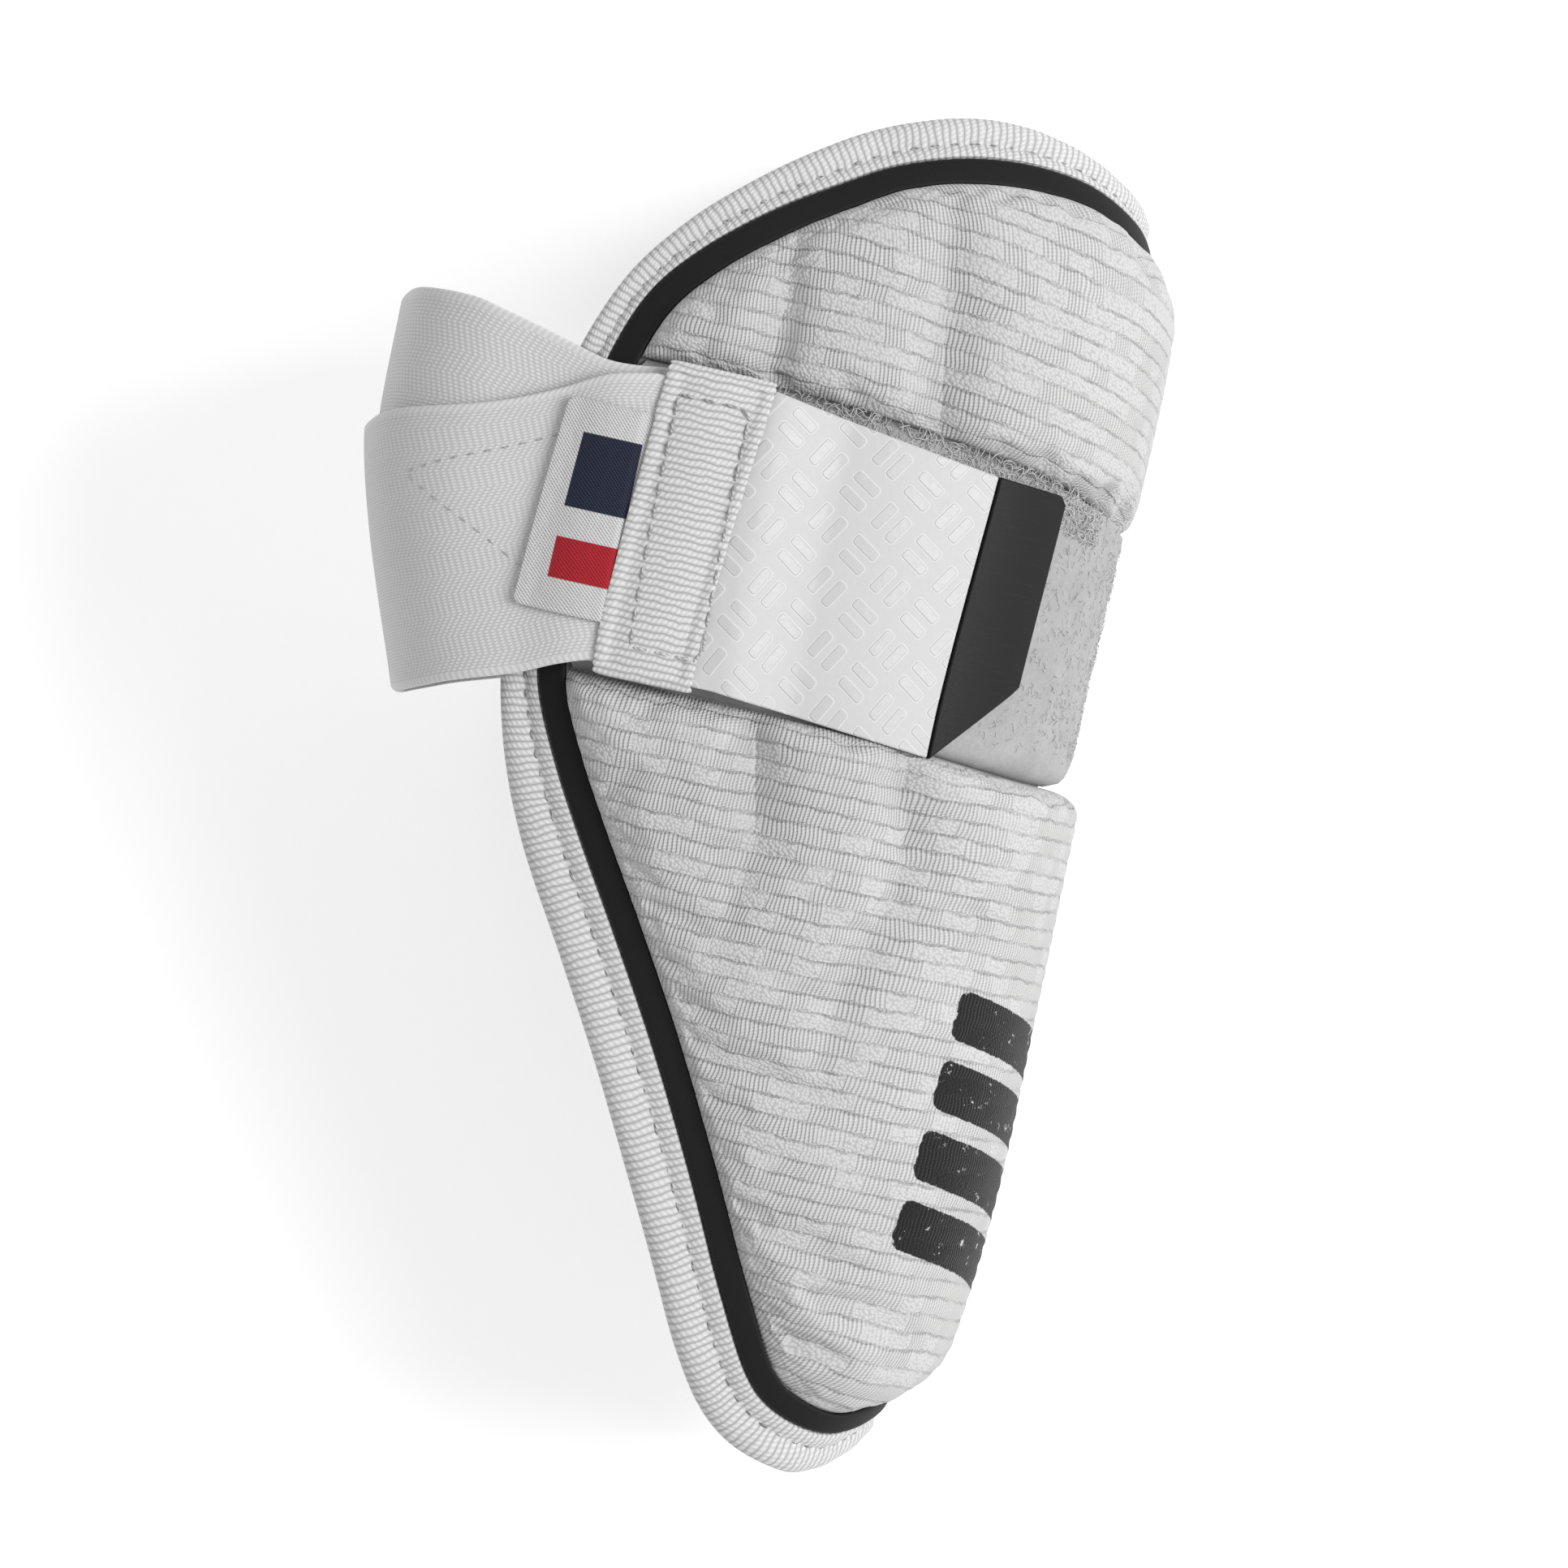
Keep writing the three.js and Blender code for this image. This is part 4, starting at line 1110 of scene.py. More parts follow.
@dataclass(frozen=True)
class WovenLabel:
    """Damask label, woven in satin twill, with a navy band and a red band in its weft.

    A band is given by its middle and half its width, across the label.
    """

    name: str = "damask_woven_label"
    twill: float = 0.62
    white: str = "DCDCDC"
    shadow: str = "A2A2A2"
    navy: str = "050F28"
    red: str = "A00014"
    middle: float = 7.3
    half_length: float = 5.0
    navy_band: tuple[float, float] = (23.4, 6.2)
    red_band: tuple[float, float] = (8.8, 3.4)

    def material(self) -> bpy.types.Material:
        """The material."""
        g = Graph(self.name)
        vector, u, v = g.axes()
        wander = g.add("TexNoise", Vector=vector, Scale=0.6, Detail=2.0, noise_dimensions="2D")
        at = g.add("MULTIPLY", g.add("ADD", u, v), 1 / self.twill)
        twill = g.sine(at)
        pick = g.sine(v, math.tau / 0.45)
        relief = g.add("MULTIPLY_ADD", twill, 0.36, g.add("MULTIPLY_ADD", pick, 0.12, 0.5))
        inside = g.off(u, self.middle)
        field_u = g.add("MapRange", inside, self.half_length, self.half_length - 0.15, 0.0, 1.0)
        # Painted shade: the colour darkens in the twill's hollows.
        colour = g.add("Mix", relief, A=self.shadow, B=self.white, data_type="RGBA")
        for dye, (middle, half) in ((self.navy, self.navy_band), (self.red, self.red_band)):
            from_middle = g.off(v, middle)
            band = g.add(
                "MULTIPLY", g.add("MapRange", from_middle, half + 0.08, half - 0.08, 0.0, 1.0), field_u
            )
            # Painted highlight: the bands turn paler on the twill's crests.
            tone = g.add("Mix", g.add("MULTIPLY", relief, 0.1), A=dye, B="8C90A0", data_type="RGBA")
            colour = g.add("Mix", band, A=colour, B=tone, data_type="RGBA")
        height = g.add("MULTIPLY_ADD", wander, 0.2, g.add("MULTIPLY", relief, 0.14))
        return g.shade(colour, height, 0.8, Roughness=0.7, Sheen_Weight=0.04, Specular_IOR_Level=0.2)


@dataclass(frozen=True)
class StudioFloor:
    """Pale floor that glows by its own emission: painted light that lifts shade from below."""

    name: str = "opal_acrylic_table"

    def material(self) -> bpy.types.Material:
        """The material."""
        g = Graph(self.name)
        vector = g.add("TexCoord").node.outputs["Object"]
        tone = g.add("TexNoise", Vector=vector, Scale=3.0, Detail=2.0)
        colour = g.add("Mix", tone, A="F1F1F1", B="F6F6F6", data_type="RGBA")
        return g.shade(
            colour,
            tone,
            0.0,
            Roughness=0.9,
            Specular_IOR_Level=0.2,
            # Painted light: the floor's emission lifts its shadows and lights the guard from below.
            Emission_Color="FFFFFF",
            Emission_Strength=0.4,
        )


def dress(piece: Piece, material: bpy.types.Material, slot: Slot, nodes: tuple[str, ...] = ()) -> Piece:
    """Gives a piece its finish and its place in the frame.

    Args:
        piece: The finished piece.
        material: Its material.
        slot: The record's slot for it; not used.
        nodes: The CAD nodes that it stands for.

    Returns:
        The piece.
    """
    piece.data.materials.clear()
    piece.data.materials.append(material)
    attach(piece, "root")
    if nodes:
        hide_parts(*nodes)
    LOG.info("%s: %d faces", piece.name, len(piece.data.polygons))
    return piece


@dataclass(frozen=True)
class Stitching:
    """Lines of lockstitch: short threads that dip into the cloth at both ends."""

    length: float = 2.7
    pitch: float = 3.3
    thickness: float = 0.55
    sink: float = 0.1

    def seed(self) -> bpy.types.Mesh:
        """One stitch along x, of length and thickness 1."""
        bm = bmesh.new()
        bmesh.ops.create_circle(bm, segments=6, radius=0.5, cap_ends=True)
        bmesh.ops.rotate(bm, verts=bm.verts, matrix=Matrix.Rotation(math.pi / 2, 3, "Y"))
        bmesh.ops.translate(bm, verts=bm.verts, vec=(-0.5, 0, 0))
        stations = 6
        face = bm.faces[:]
        for _ in range(stations):
            made = bmesh.ops.extrude_face_region(bm, geom=face)["geom"]
            face = [part for part in made if isinstance(part, bmesh.types.BMFace)]
            moved = [part for part in made if isinstance(part, bmesh.types.BMVert)]
            bmesh.ops.translate(bm, verts=moved, vec=(1 / stations, 0, 0))
        for vertex in bm.verts:
            arch = 1 - (2 * vertex.co.x) ** 2
            vertex.co.y *= 0.55 + 0.45 * arch
            vertex.co.z = vertex.co.z * (0.5 + 0.5 * arch) - 0.8 * (1 - arch)
        bmesh.ops.recalc_face_normals(bm, faces=bm.faces)
        return mesh_of(bm, "stitch")

    def sew(self, name: str, lines: list[tuple[Array, Array]]) -> Piece:
        """Sews along lines.

        Args:
            name: The piece's name.
            lines: Points on the cloth and points one millimetre above them, both in the arm's
                frame.

        Returns:
            The piece.
        """
        places = []
        for low, high in lines:
            run = run_length(low)
            count = max(1, int(run[-1] // self.pitch))
            middles = (np.arange(count) + 0.5) * run[-1] / count
            read = lambda table, at: np.stack([np.interp(at, run, table[:, k]) for k in range(3)], -1)
            start, end = (read(low, np.clip(middles + s * self.length / 2, 0, run[-1])) for s in (-1, 1))
            up = unit(read(high, middles) - read(low, middles))
            ahead = unit(end - start)
            side = unit(np.cross(up, ahead))
            up = np.cross(ahead, side)
            at = (start + end) / 2 + up * (self.thickness / 2 - self.sink)
            size = (self.length, self.thickness, self.thickness)
            for k in range(count):
                axes = np.stack([ahead[k], side[k], up[k]], -1) * size
                matrix = Matrix((np.array(LIE.turn) @ axes * MM).tolist()).to_4x4()
                matrix.translation = Vector(LIE.down(at[k]))
                places.append(matrix)
        return copies(name, self.seed(), places)


@dataclass
class Shell:
    """The backing, its binding and the black trim."""

    backing_thickness: float = 4.0
    quilting: float = 0.5
    binding_columns: int = 620
    binding_rows: int = 52
    trim_low: float = 0.86
    trim_high: float = 2.2
    trim_power: float = 0.34
    valley_height: float = 1.34
    stitch: Stitching = Stitching(length=2.3, pitch=3.4, thickness=0.4, sink=0.12)

    def backing(self) -> Piece:
        """The padded liner sheet, quilted a little on the arm's side."""
        edge = lambda share: 0 * share + 0.9 + PAD_SEAT
        top = RIM_LINES.line(edge, 0.0, RIM_LINES.share_of(WIDE_CORNER))
        foot = RIM_LINES.line(edge, RIM_LINES.share_of(len(RIM) - 1), RIM_LINES.share_of(NARROW_CORNER))
        flank = RIM_LINES.line(edge, RIM_LINES.share_of(NARROW_CORNER), RIM_LINES.share_of(WIDE_CORNER))
        side, rise = np.meshgrid(np.linspace(-1, 1, 121), np.linspace(0, 1, 111))
        place = HalfPatch(foot, top, flank).place(side, rise)
        angle, y = place[..., 0], place[..., 1]
        inside = (1 - side**8) * (1 - (2 * rise - 1) ** 8)
        swell = self.quilting * (1 - groove_share(angle, y)) * inside
        outer = WRAP.over(angle, y, 0.0)
        inner = WRAP.over(angle, y, -self.backing_thickness - swell)
        across = run_length(outer)
        cloth = np.stack([across - across[:, 60:61], y], -1)
        piece, _ = grid_piece("backing_liner", LIE.down(outer), cloth, LIE.down(inner))
        dress(piece, BrushedLining().material(), Slot.KNIT, ("backing",))
        return piece

    def binding(self) -> Piece:
        """The grosgrain tape folded over the rim, puckered along its stitch line."""
        shares, run = RIM_LINES.even(self.binding_columns)
        turn = np.linspace(0, 1, self.binding_rows + 1)
        columns = (Curve.column(BINDING_SECTION, k).at(turn)[:, None] for k in (1, 2, 3, 4))
        share, inset, height, across = columns
        pucker = np.sin(math.tau * run / self.stitch.pitch) + 0.5 * np.sin(math.tau * run / 11.3 + 1.0)
        near = np.exp(-(((turn - 0.22) / 0.05) ** 2))[:, None]
        roll = np.exp(-(((turn - 0.4) / 0.09) ** 2))[:, None]
        distance = share * RIM_LINES.margin(shares) + inset + 0.12 * near * pucker
        place = RIM_LINES.inset(np.broadcast_to(shares, distance.shape), distance)
        lift = height + 0.16 * near * pucker + 0.06 * roll * np.sin(math.tau * run / 7.9)
        points = WRAP.above(place, lift)
        cloth = np.stack(np.broadcast_arrays(run, across), -1)
        piece, _ = grid_piece("edge_binding_tape", LIE.down(points, flattened=True), cloth)
        dress(piece, Grosgrain("grosgrain_binding_polyester").material(), Slot.TAPE, ("edge_binding",))
        return piece

    def trim(self) -> Piece:
        """The black strip inside the binding."""
        shares, run = RIM_LINES.even(self.binding_columns)
        turn = np.linspace(0, math.tau, 33)
        half = RIM_LINES.trim_width / 2
        middle = (self.trim_low + self.trim_high) / 2
        wide = squared_off(np.cos(turn), self.trim_power) * half
        tall = squared_off(np.sin(turn), self.trim_power) * (self.trim_high - self.trim_low) / 2
        inset = RIM_LINES.margin(shares) + half + wide[:, None]
        place = RIM_LINES.inset(np.broadcast_to(shares, inset.shape), inset)
        points = WRAP.above(place, middle + tall[:, None])
        cloth = np.stack(np.broadcast_arrays(run, half + wide[:, None]), -1)
        piece, _ = grid_piece("black_rim_trim", LIE.down(points, flattened=True), cloth)
        return dress(piece, BlackTrim().material(), Slot.TRIM, ("rim_trim",))

    def seam(self) -> Piece:
        """The stitches along the binding's valley."""
        shares, _ = RIM_LINES.even(1200)
        valley = 0.65 * RIM_LINES.margin(shares)
        place = RIM_LINES.inset(shares, valley)
        low, high = (WRAP.above(place, self.valley_height + up) for up in (0.0, 1.0))
        piece = self.stitch.sew("binding_stitches", [(low, high)])
        return dress(piece, Thread("binding_thread").material(), Slot.TAPE)

    def build(self) -> None:
        """Builds the shell."""
        self.backing()
        self.binding()
        self.trim()
        self.seam()


def groove_share(angle: Array, y: Array) -> Array:
    """The share of the grooves' full depth at places on the pads."""
    along = y / WRAP.half_length
    most = np.zeros(np.broadcast(angle, y).shape)
    for table in (FRONT_GROOVE, REAR_GROOVE):
        off = np.abs(np.abs(angle) - Curve.column(table, 1).at(along)) / 7.4
        depth = np.clip(Curve.column(table, 2).at(along), 0.0, 1.0)
        most = np.maximum(most, depth * np.exp(-2.4 * off**1.5))
    return most


def channel_top(angle: Array) -> Array:
    """The height of the strap channel's upper edge."""
    sine = np.where(np.abs(angle) > 90, 1.0, np.sin(np.radians(np.abs(angle))))
    return mix(*CHANNEL_TOP, sine)


def channel_foot(angle: Array) -> Array:
    """The height of the strap channel's lower edge."""
    return mix(*CHANNEL_FOOT, ease(25, 70, np.abs(angle)))


def channel_line(edge_of: Line, corner: Array) -> Line:
    """A line across the channel's edge, from the ridge to a corner."""
    return lambda share: np.stack([corner[0] * share, edge_of(corner[0] * share)], -1)


@dataclass(frozen=True)
class Swell:
    """Lets a pad's cover swell between its sewn lines, by a short cloth simulation.

    It works at ten times the real size, where the solver is steady.
    """

    columns: int = 72
    rows: int = 40
    frames: int = 20
    pressure: float = 4.0
    cap: float = 1.0
    scale: float = 10.0

    def moved(self, outer: Array, inner: Array, held: Array) -> Array:
        """Runs the simulation.

        Args:
            outer: The cover's places in mm, (rows + 1, columns + 1, 3).
            inner: The places under it.
            held: How firmly each place of the cover is held, from 0 to 1.

        Returns:
            How far each place moves, in mm, in the same layout.
        """
        scene = bpy.context.scene
        size = self.scale * MM
        blank = np.zeros(outer.shape[:2] + (2,))
        piece, spots = grid_piece("swelling_cover", outer * size, blank, inner * size)
        row, column, skin = spots.T
        firm = np.where(skin == Skin.OUTER.value, held[row, column], 1.0)
        group = piece.vertex_groups.new(name="held")
        for index, weight in enumerate(firm):
            group.add([index], float(weight), "REPLACE")
        cloth = piece.modifiers.new("Cloth", "CLOTH")
        cloth.settings.quality = 6
        cloth.settings.tension_stiffness = 20.0
        cloth.settings.compression_stiffness = 20.0
        cloth.settings.shear_stiffness = 8.0
        cloth.settings.bending_stiffness = 4.0
        cloth.settings.air_damping = 2.0
        cloth.settings.use_pressure = True
        cloth.settings.uniform_pressure_force = self.pressure
        cloth.settings.shrink_min = -0.035
        cloth.settings.vertex_group_mass = group.name
        cloth.settings.effector_weights.gravity = 0.0
        cloth.collision_settings.use_collision = False
        for step in range(1, self.frames + 1):
            scene.frame_set(step)
        shown = piece.evaluated_get(bpy.context.evaluated_depsgraph_get())
        found = np.empty(3 * len(shown.data.vertices), np.float32)
        shown.data.vertices.foreach_get("co", found)
        scene.frame_set(1)
        bpy.data.objects.remove(piece)
        top = skin == Skin.OUTER.value
        move = np.zeros(outer.shape)
        move[row[top], column[top]] = found.reshape(-1, 3)[top] / size - outer[row[top], column[top]]
        reach = np.linalg.norm(move, axis=-1, keepdims=True)
        LOG.info("cover swelled by up to %.2f mm", reach.max())
        return move * np.minimum(1.0, self.cap / np.maximum(reach, 1e-9))


@dataclass
class Pad:
    """One raised foam pad under its knit cover; its row 0 or its row -1 runs along the channel."""

    name: str
    node: str
    patch: HalfPatch
    full: float
    ridge_share: float
    columns: int
    rows: int
    row_bend: float
    channel_row: int
    swell: Swell
    finish: KnitCover
    rim_shoulder: float = 8.0
    tip_shoulder: float = 14.0
    tip_span: tuple[float, float] = (-72.0, -96.0)
    channel_shoulder: float = 7.0
    groove_depth: float = 4.5
    border_height: float = 1.15
    crease_depth: float = 0.16
    gather_pitch: float = 2.3
    gather_depth: float = 0.22

    def stations(self, columns: int, rows: int) -> tuple[Array, Array]:
        """Sides and rises of a grid that is closer at its borders."""
        side = np.linspace(-1, 1, columns + 1)
        side = np.sign(side) * (1 - (1 - np.abs(side)) ** 1.35)
        rise = np.linspace(0, 1, rows + 1)
        rise = mix(rise, rise * rise * (3 - 2 * rise), 0.45)
        return np.meshgrid(side, rise)

    def border_distance(self, points: Array, at_channel: bool) -> Array:
        """How far places of the face are from the pad's border.

        Args:
            points: The places.
            at_channel: Whether the border is the one along the channel, or else the rest.

        Returns:
            Distances in mm.
        """
        share, nought = np.linspace(0, 1, 700), np.zeros(700)
        across = 2 * share - 1
        ends = [(across, nought), (across, nought + 1), (nought + 1, share), (nought - 1, share)]
        chosen = [line for k, line in enumerate(ends) if (k == -self.channel_row) == at_channel]
        places = [self.patch.place(side, rise) for side, rise in chosen]
        border = np.concatenate([WRAP.face(p[:, 0], p[:, 1]) for p in places])
        flat = points.reshape(-1, 3)
        blocks = np.array_split(flat, len(flat) // 2000 + 1)
        nearest = [np.sqrt(((block[:, None] - border) ** 2).sum(-1).min(1)) for block in blocks]
        return np.concatenate(nearest).reshape(points.shape[:-1])

    def skin(self, columns: int, rows: int) -> tuple[Array, Array, Array, Array]:
        """The cover before it swells.

        Args:
            columns: Steps across.
            rows: Steps along.

        Returns:
            Its places, the places under it, how firmly it is held, and the cloth's coordinates.
        """
        side, rise = self.stations(columns, rows)
        place = self.patch.place(side, rise)
        angle, y = place[..., 0], place[..., 1]
        face = WRAP.face(angle, y)
        to_rim, to_channel = (self.border_distance(face, channel) for channel in (False, True))
        to_channel[self.channel_row, :] = 0.0
        to_rim[-1 - self.channel_row, :] = 0.0
        to_rim[self.channel_row, :] = self.rim_shoulder
        to_rim[:, [0, -1]] = 0.0
        tip = ease(*self.tip_span, y)
        wide = mix(self.rim_shoulder, self.tip_shoulder, tip)
        rim_round = shoulder(to_rim, wide, mix(0.5, 0.8, tip))
        channel_round = shoulder(to_channel, self.channel_shoulder)
        full = self.full * mix(self.ridge_share, 1.0, ease(*RIDGE_TO_FLANK, np.abs(angle)))
        groove = groove_share(angle, y)
        across = run_length(face)
        middle = columns // 2
        u = across - across[:, middle : middle + 1]
        v = y - self.row_bend * (channel_top(angle) - CHANNEL_TOP[1])
        height = mix(self.border_height, full - self.groove_depth * groove, rim_round * channel_round)
        wave = np.sin(math.tau * u / self.gather_pitch + 1.7 * np.sin(u / 5.1))
        gather = self.gather_depth * wave * np.exp(-to_channel / 3.2) * channel_round
        cloth = np.stack([u, v], -1)
        outer = WRAP.over(angle, y, height + gather)
        inner = WRAP.over(angle, y, PAD_SEAT - 0.05)
        held = np.clip(np.maximum.reduce([1.6 - to_rim / 2.5, 1.2 - to_channel / 2.5, 0.95 * groove]), 0, 1)
        return outer, inner, held, cloth

    def build(self) -> Piece:
        """Builds the pad.

        Returns:
            The piece.
        """
        outer, inner, _, cloth = self.skin(self.columns, self.rows)
        outer = outer + self.swelling()
        v = cloth[..., 1]
        near = (np.abs(np.mod(v / self.finish.row_pitch, 1.0) - 0.5) - 0.5) * self.finish.row_pitch
        crease = np.exp(-((near / 0.7) ** 2))
        crease[[0, -1], :] = 0
        crease[:, [0, -1]] = 0
        normal = unit(outer - inner)
        outer = outer - normal * (self.crease_depth * crease)[..., None]
        outer, inner = (LIE.down(skin, flattened=True) for skin in (outer, inner))
        piece, _ = grid_piece(self.name, outer, cloth, inner)
        dress(piece, self.finish.material(), Slot.KNIT, (self.node,))
        return piece

    def swelling(self) -> Array:
        """How far the simulated cover moves, read off at the pad's own grid."""
        outer, inner, held, _ = self.skin(self.swell.columns, self.swell.rows)
        move = self.swell.moved(outer, inner, held)
        coarse = self.stations(self.swell.columns, self.swell.rows)
        fine = self.stations(self.columns, self.rows)
        across = Curve(coarse[0][0], np.eye(self.swell.columns + 1)).at(fine[0][0])
        along = Curve(coarse[1][:, 0], np.eye(self.swell.rows + 1)).at(fine[1][:, 0])
        return np.einsum("ri,ijk,cj->rck", along, move, across)


@dataclass
class Pads:
    """The upper and the lower pad."""

    upper_height: float = 7.0
    lower_height: float = 7.4

    def upper(self) -> Pad:
        """The pad above the strap channel."""
        share, corner = RIM_LINES.corner(RIM_LINES.trim_inner, CHANNEL_TOP[1])
        wide = RIM_LINES.share_of(WIDE_CORNER)
        patch = HalfPatch(
            foot=channel_line(channel_top, corner),
            top=RIM_LINES.line(RIM_LINES.trim_inner, 0.0, wide),
            flank=RIM_LINES.line(RIM_LINES.trim_inner, share, wide),
        )
        return Pad(
            name="upper_pad_cover", node="upper_pad", patch=patch, full=self.upper_height,
            ridge_share=0.72, columns=150, rows=150, row_bend=1.0, channel_row=0,
            swell=Swell(rows=30), finish=KnitCover(),
        )

    def lower(self) -> Pad:
        """The pad below the strap channel."""
        share, corner = RIM_LINES.corner(RIM_LINES.trim_inner, CHANNEL_FOOT[1])
        narrow = RIM_LINES.share_of(NARROW_CORNER)
        patch = HalfPatch(
            foot=RIM_LINES.line(RIM_LINES.trim_inner, RIM_LINES.share_of(len(RIM) - 1), narrow),
            top=channel_line(channel_foot, corner),
            flank=RIM_LINES.line(RIM_LINES.trim_inner, narrow, share),
        )
        cover = KnitCover(name="printed_jacquard_knit_polyester", seeded=0.3, printed=True)
        return Pad(
            name="lower_pad_cover", node="lower_pad", patch=patch, full=self.lower_height,
            ridge_share=0.9, columns=150, rows=290, row_bend=0.0, channel_row=-1,
            swell=Swell(rows=60), finish=cover, channel_shoulder=4.5,
        )

    def build(self) -> None:
        """Builds both pads."""
        self.upper().build()
        self.lower().build()


def loop_height(angle: Array) -> Array:
    """How high the loop pile stands above the face."""
    return mix(*PILE_HEIGHT, ease(*RIDGE_TO_FLANK, np.abs(angle)))


@dataclass
class Channel:
    """The loop pile in the strap channel."""

    fibres: int = 5200
    fibre_width: float = 0.085
    seed: int = 11
    width: float = 54.0
    foot_shoulder: float = 5.0
    top_shoulder: float = 1.6
    edge_height: float = 0.8

    def patch(self) -> HalfPatch:
        """The channel's floor, from trim to trim."""
        low, foot_corner = RIM_LINES.corner(RIM_LINES.pad_edge, CHANNEL_FOOT[1] + SEAT)
        high, top_corner = RIM_LINES.corner(RIM_LINES.pad_edge, CHANNEL_TOP[1] - SEAT)
        return HalfPatch(
            foot=channel_line(lambda angle: channel_foot(angle) + SEAT, foot_corner),
            top=channel_line(lambda angle: channel_top(angle) - SEAT, top_corner),
            flank=RIM_LINES.line(RIM_LINES.pad_edge, low, high),
        )

    def panel(self) -> Piece:
        """The pile's backing cloth, a little uneven."""
        side, rise = np.meshgrid(np.linspace(-1, 1, 181), np.linspace(0, 1, 41))
        place = self.patch().place(side, rise)
        angle, y = place[..., 0], place[..., 1]
        face = WRAP.face(angle, y)
        across = run_length(face)
        uneven = 0.12 * np.sin(across / 3.1) * np.sin(y / 2.3 + across / 7)
        inside = np.minimum(rise / self.foot_shoulder, (1 - rise) / self.top_shoulder) * self.width
        height = mix(self.edge_height, loop_height(angle) + uneven, shoulder(inside, 1.0))
        outer = WRAP.over(angle, y, height)
        inner = WRAP.over(angle, y, SEAT)
        cloth = np.stack([across - across[:, 90:91], y], -1)
        piece, _ = grid_piece("loop_pile_panel", LIE.down(outer), cloth, LIE.down(inner))
        return dress(piece, LoopPile().material(), Slot.PILE, ("loop_panel",))

    def fibre(self) -> bpy.types.Mesh:
        """One curled fibre: an arch of three sides, 1 wide and about 1 high."""
        bm = bmesh.new()
        bmesh.ops.create_circle(bm, segments=3, radius=0.5 * self.fibre_width)
        bmesh.ops.translate(bm, verts=bm.verts, vec=(0.5, 0, 0))
        bmesh.ops.spin(
            bm,
            geom=bm.edges[:],
            cent=(0, 0, 0),
            axis=(0, 1, 0),
            angle=-math.radians(215),
            steps=6,
            use_merge=False,
        )
        return mesh_of(bm, "fibre")

    def pile(self) -> Piece:
        """The fibres that stand out of the pile, thickest in the open parts of the channel."""
        draw = np.random.default_rng(self.seed)
        side = draw.uniform(-1, 1, self.fibres)
        rise = draw.uniform(0.1, 0.985, self.fibres)
        front = draw.random(self.fibres) < 0.42
        side = np.where(front, draw.uniform(-0.25, 0.5, self.fibres), side)
        edge = draw.random(self.fibres) < 0.3
        rise = np.where(edge, 1 - draw.uniform(0, 0.16, self.fibres), rise)
        side = np.where(edge, draw.uniform(0.22, 0.85, self.fibres), side)
        place = self.patch().place(side, rise)
        angle, y = place[:, 0], place[:, 1]
        height = loop_height(angle) - 0.35
        low = WRAP.over(angle, y, height)
        up = unit(WRAP.over(angle, y, height + 1) - low)
        spin = draw.uniform(0, math.tau, self.fibres)
        tilt = draw.uniform(-0.9, 0.9, self.fibres)
        size = draw.uniform(0.9, 1.7, self.fibres) * np.where(edge, 1.35, 1.0)
        places = []
        turn = LIE.turn.to_4x4()
        for k in range(self.fibres):
            stand = Vector(up[k]).to_track_quat("Z", "Y").to_matrix().to_4x4()
            own = Matrix.Rotation(spin[k], 4, "Z") @ Matrix.Rotation(tilt[k], 4, "X")
            matrix = turn @ stand @ own @ Matrix.Scale(size[k] * MM, 4)
            matrix.translation = Vector(LIE.down(low[k]))
            places.append(matrix)
        piece = copies("loop_pile_fibres", self.fibre(), places)
        return dress(piece, Fibre().material(), Slot.PILE)

    def build(self) -> None:
        """Builds the channel."""
        panel = self.panel()
        pile = self.pile()


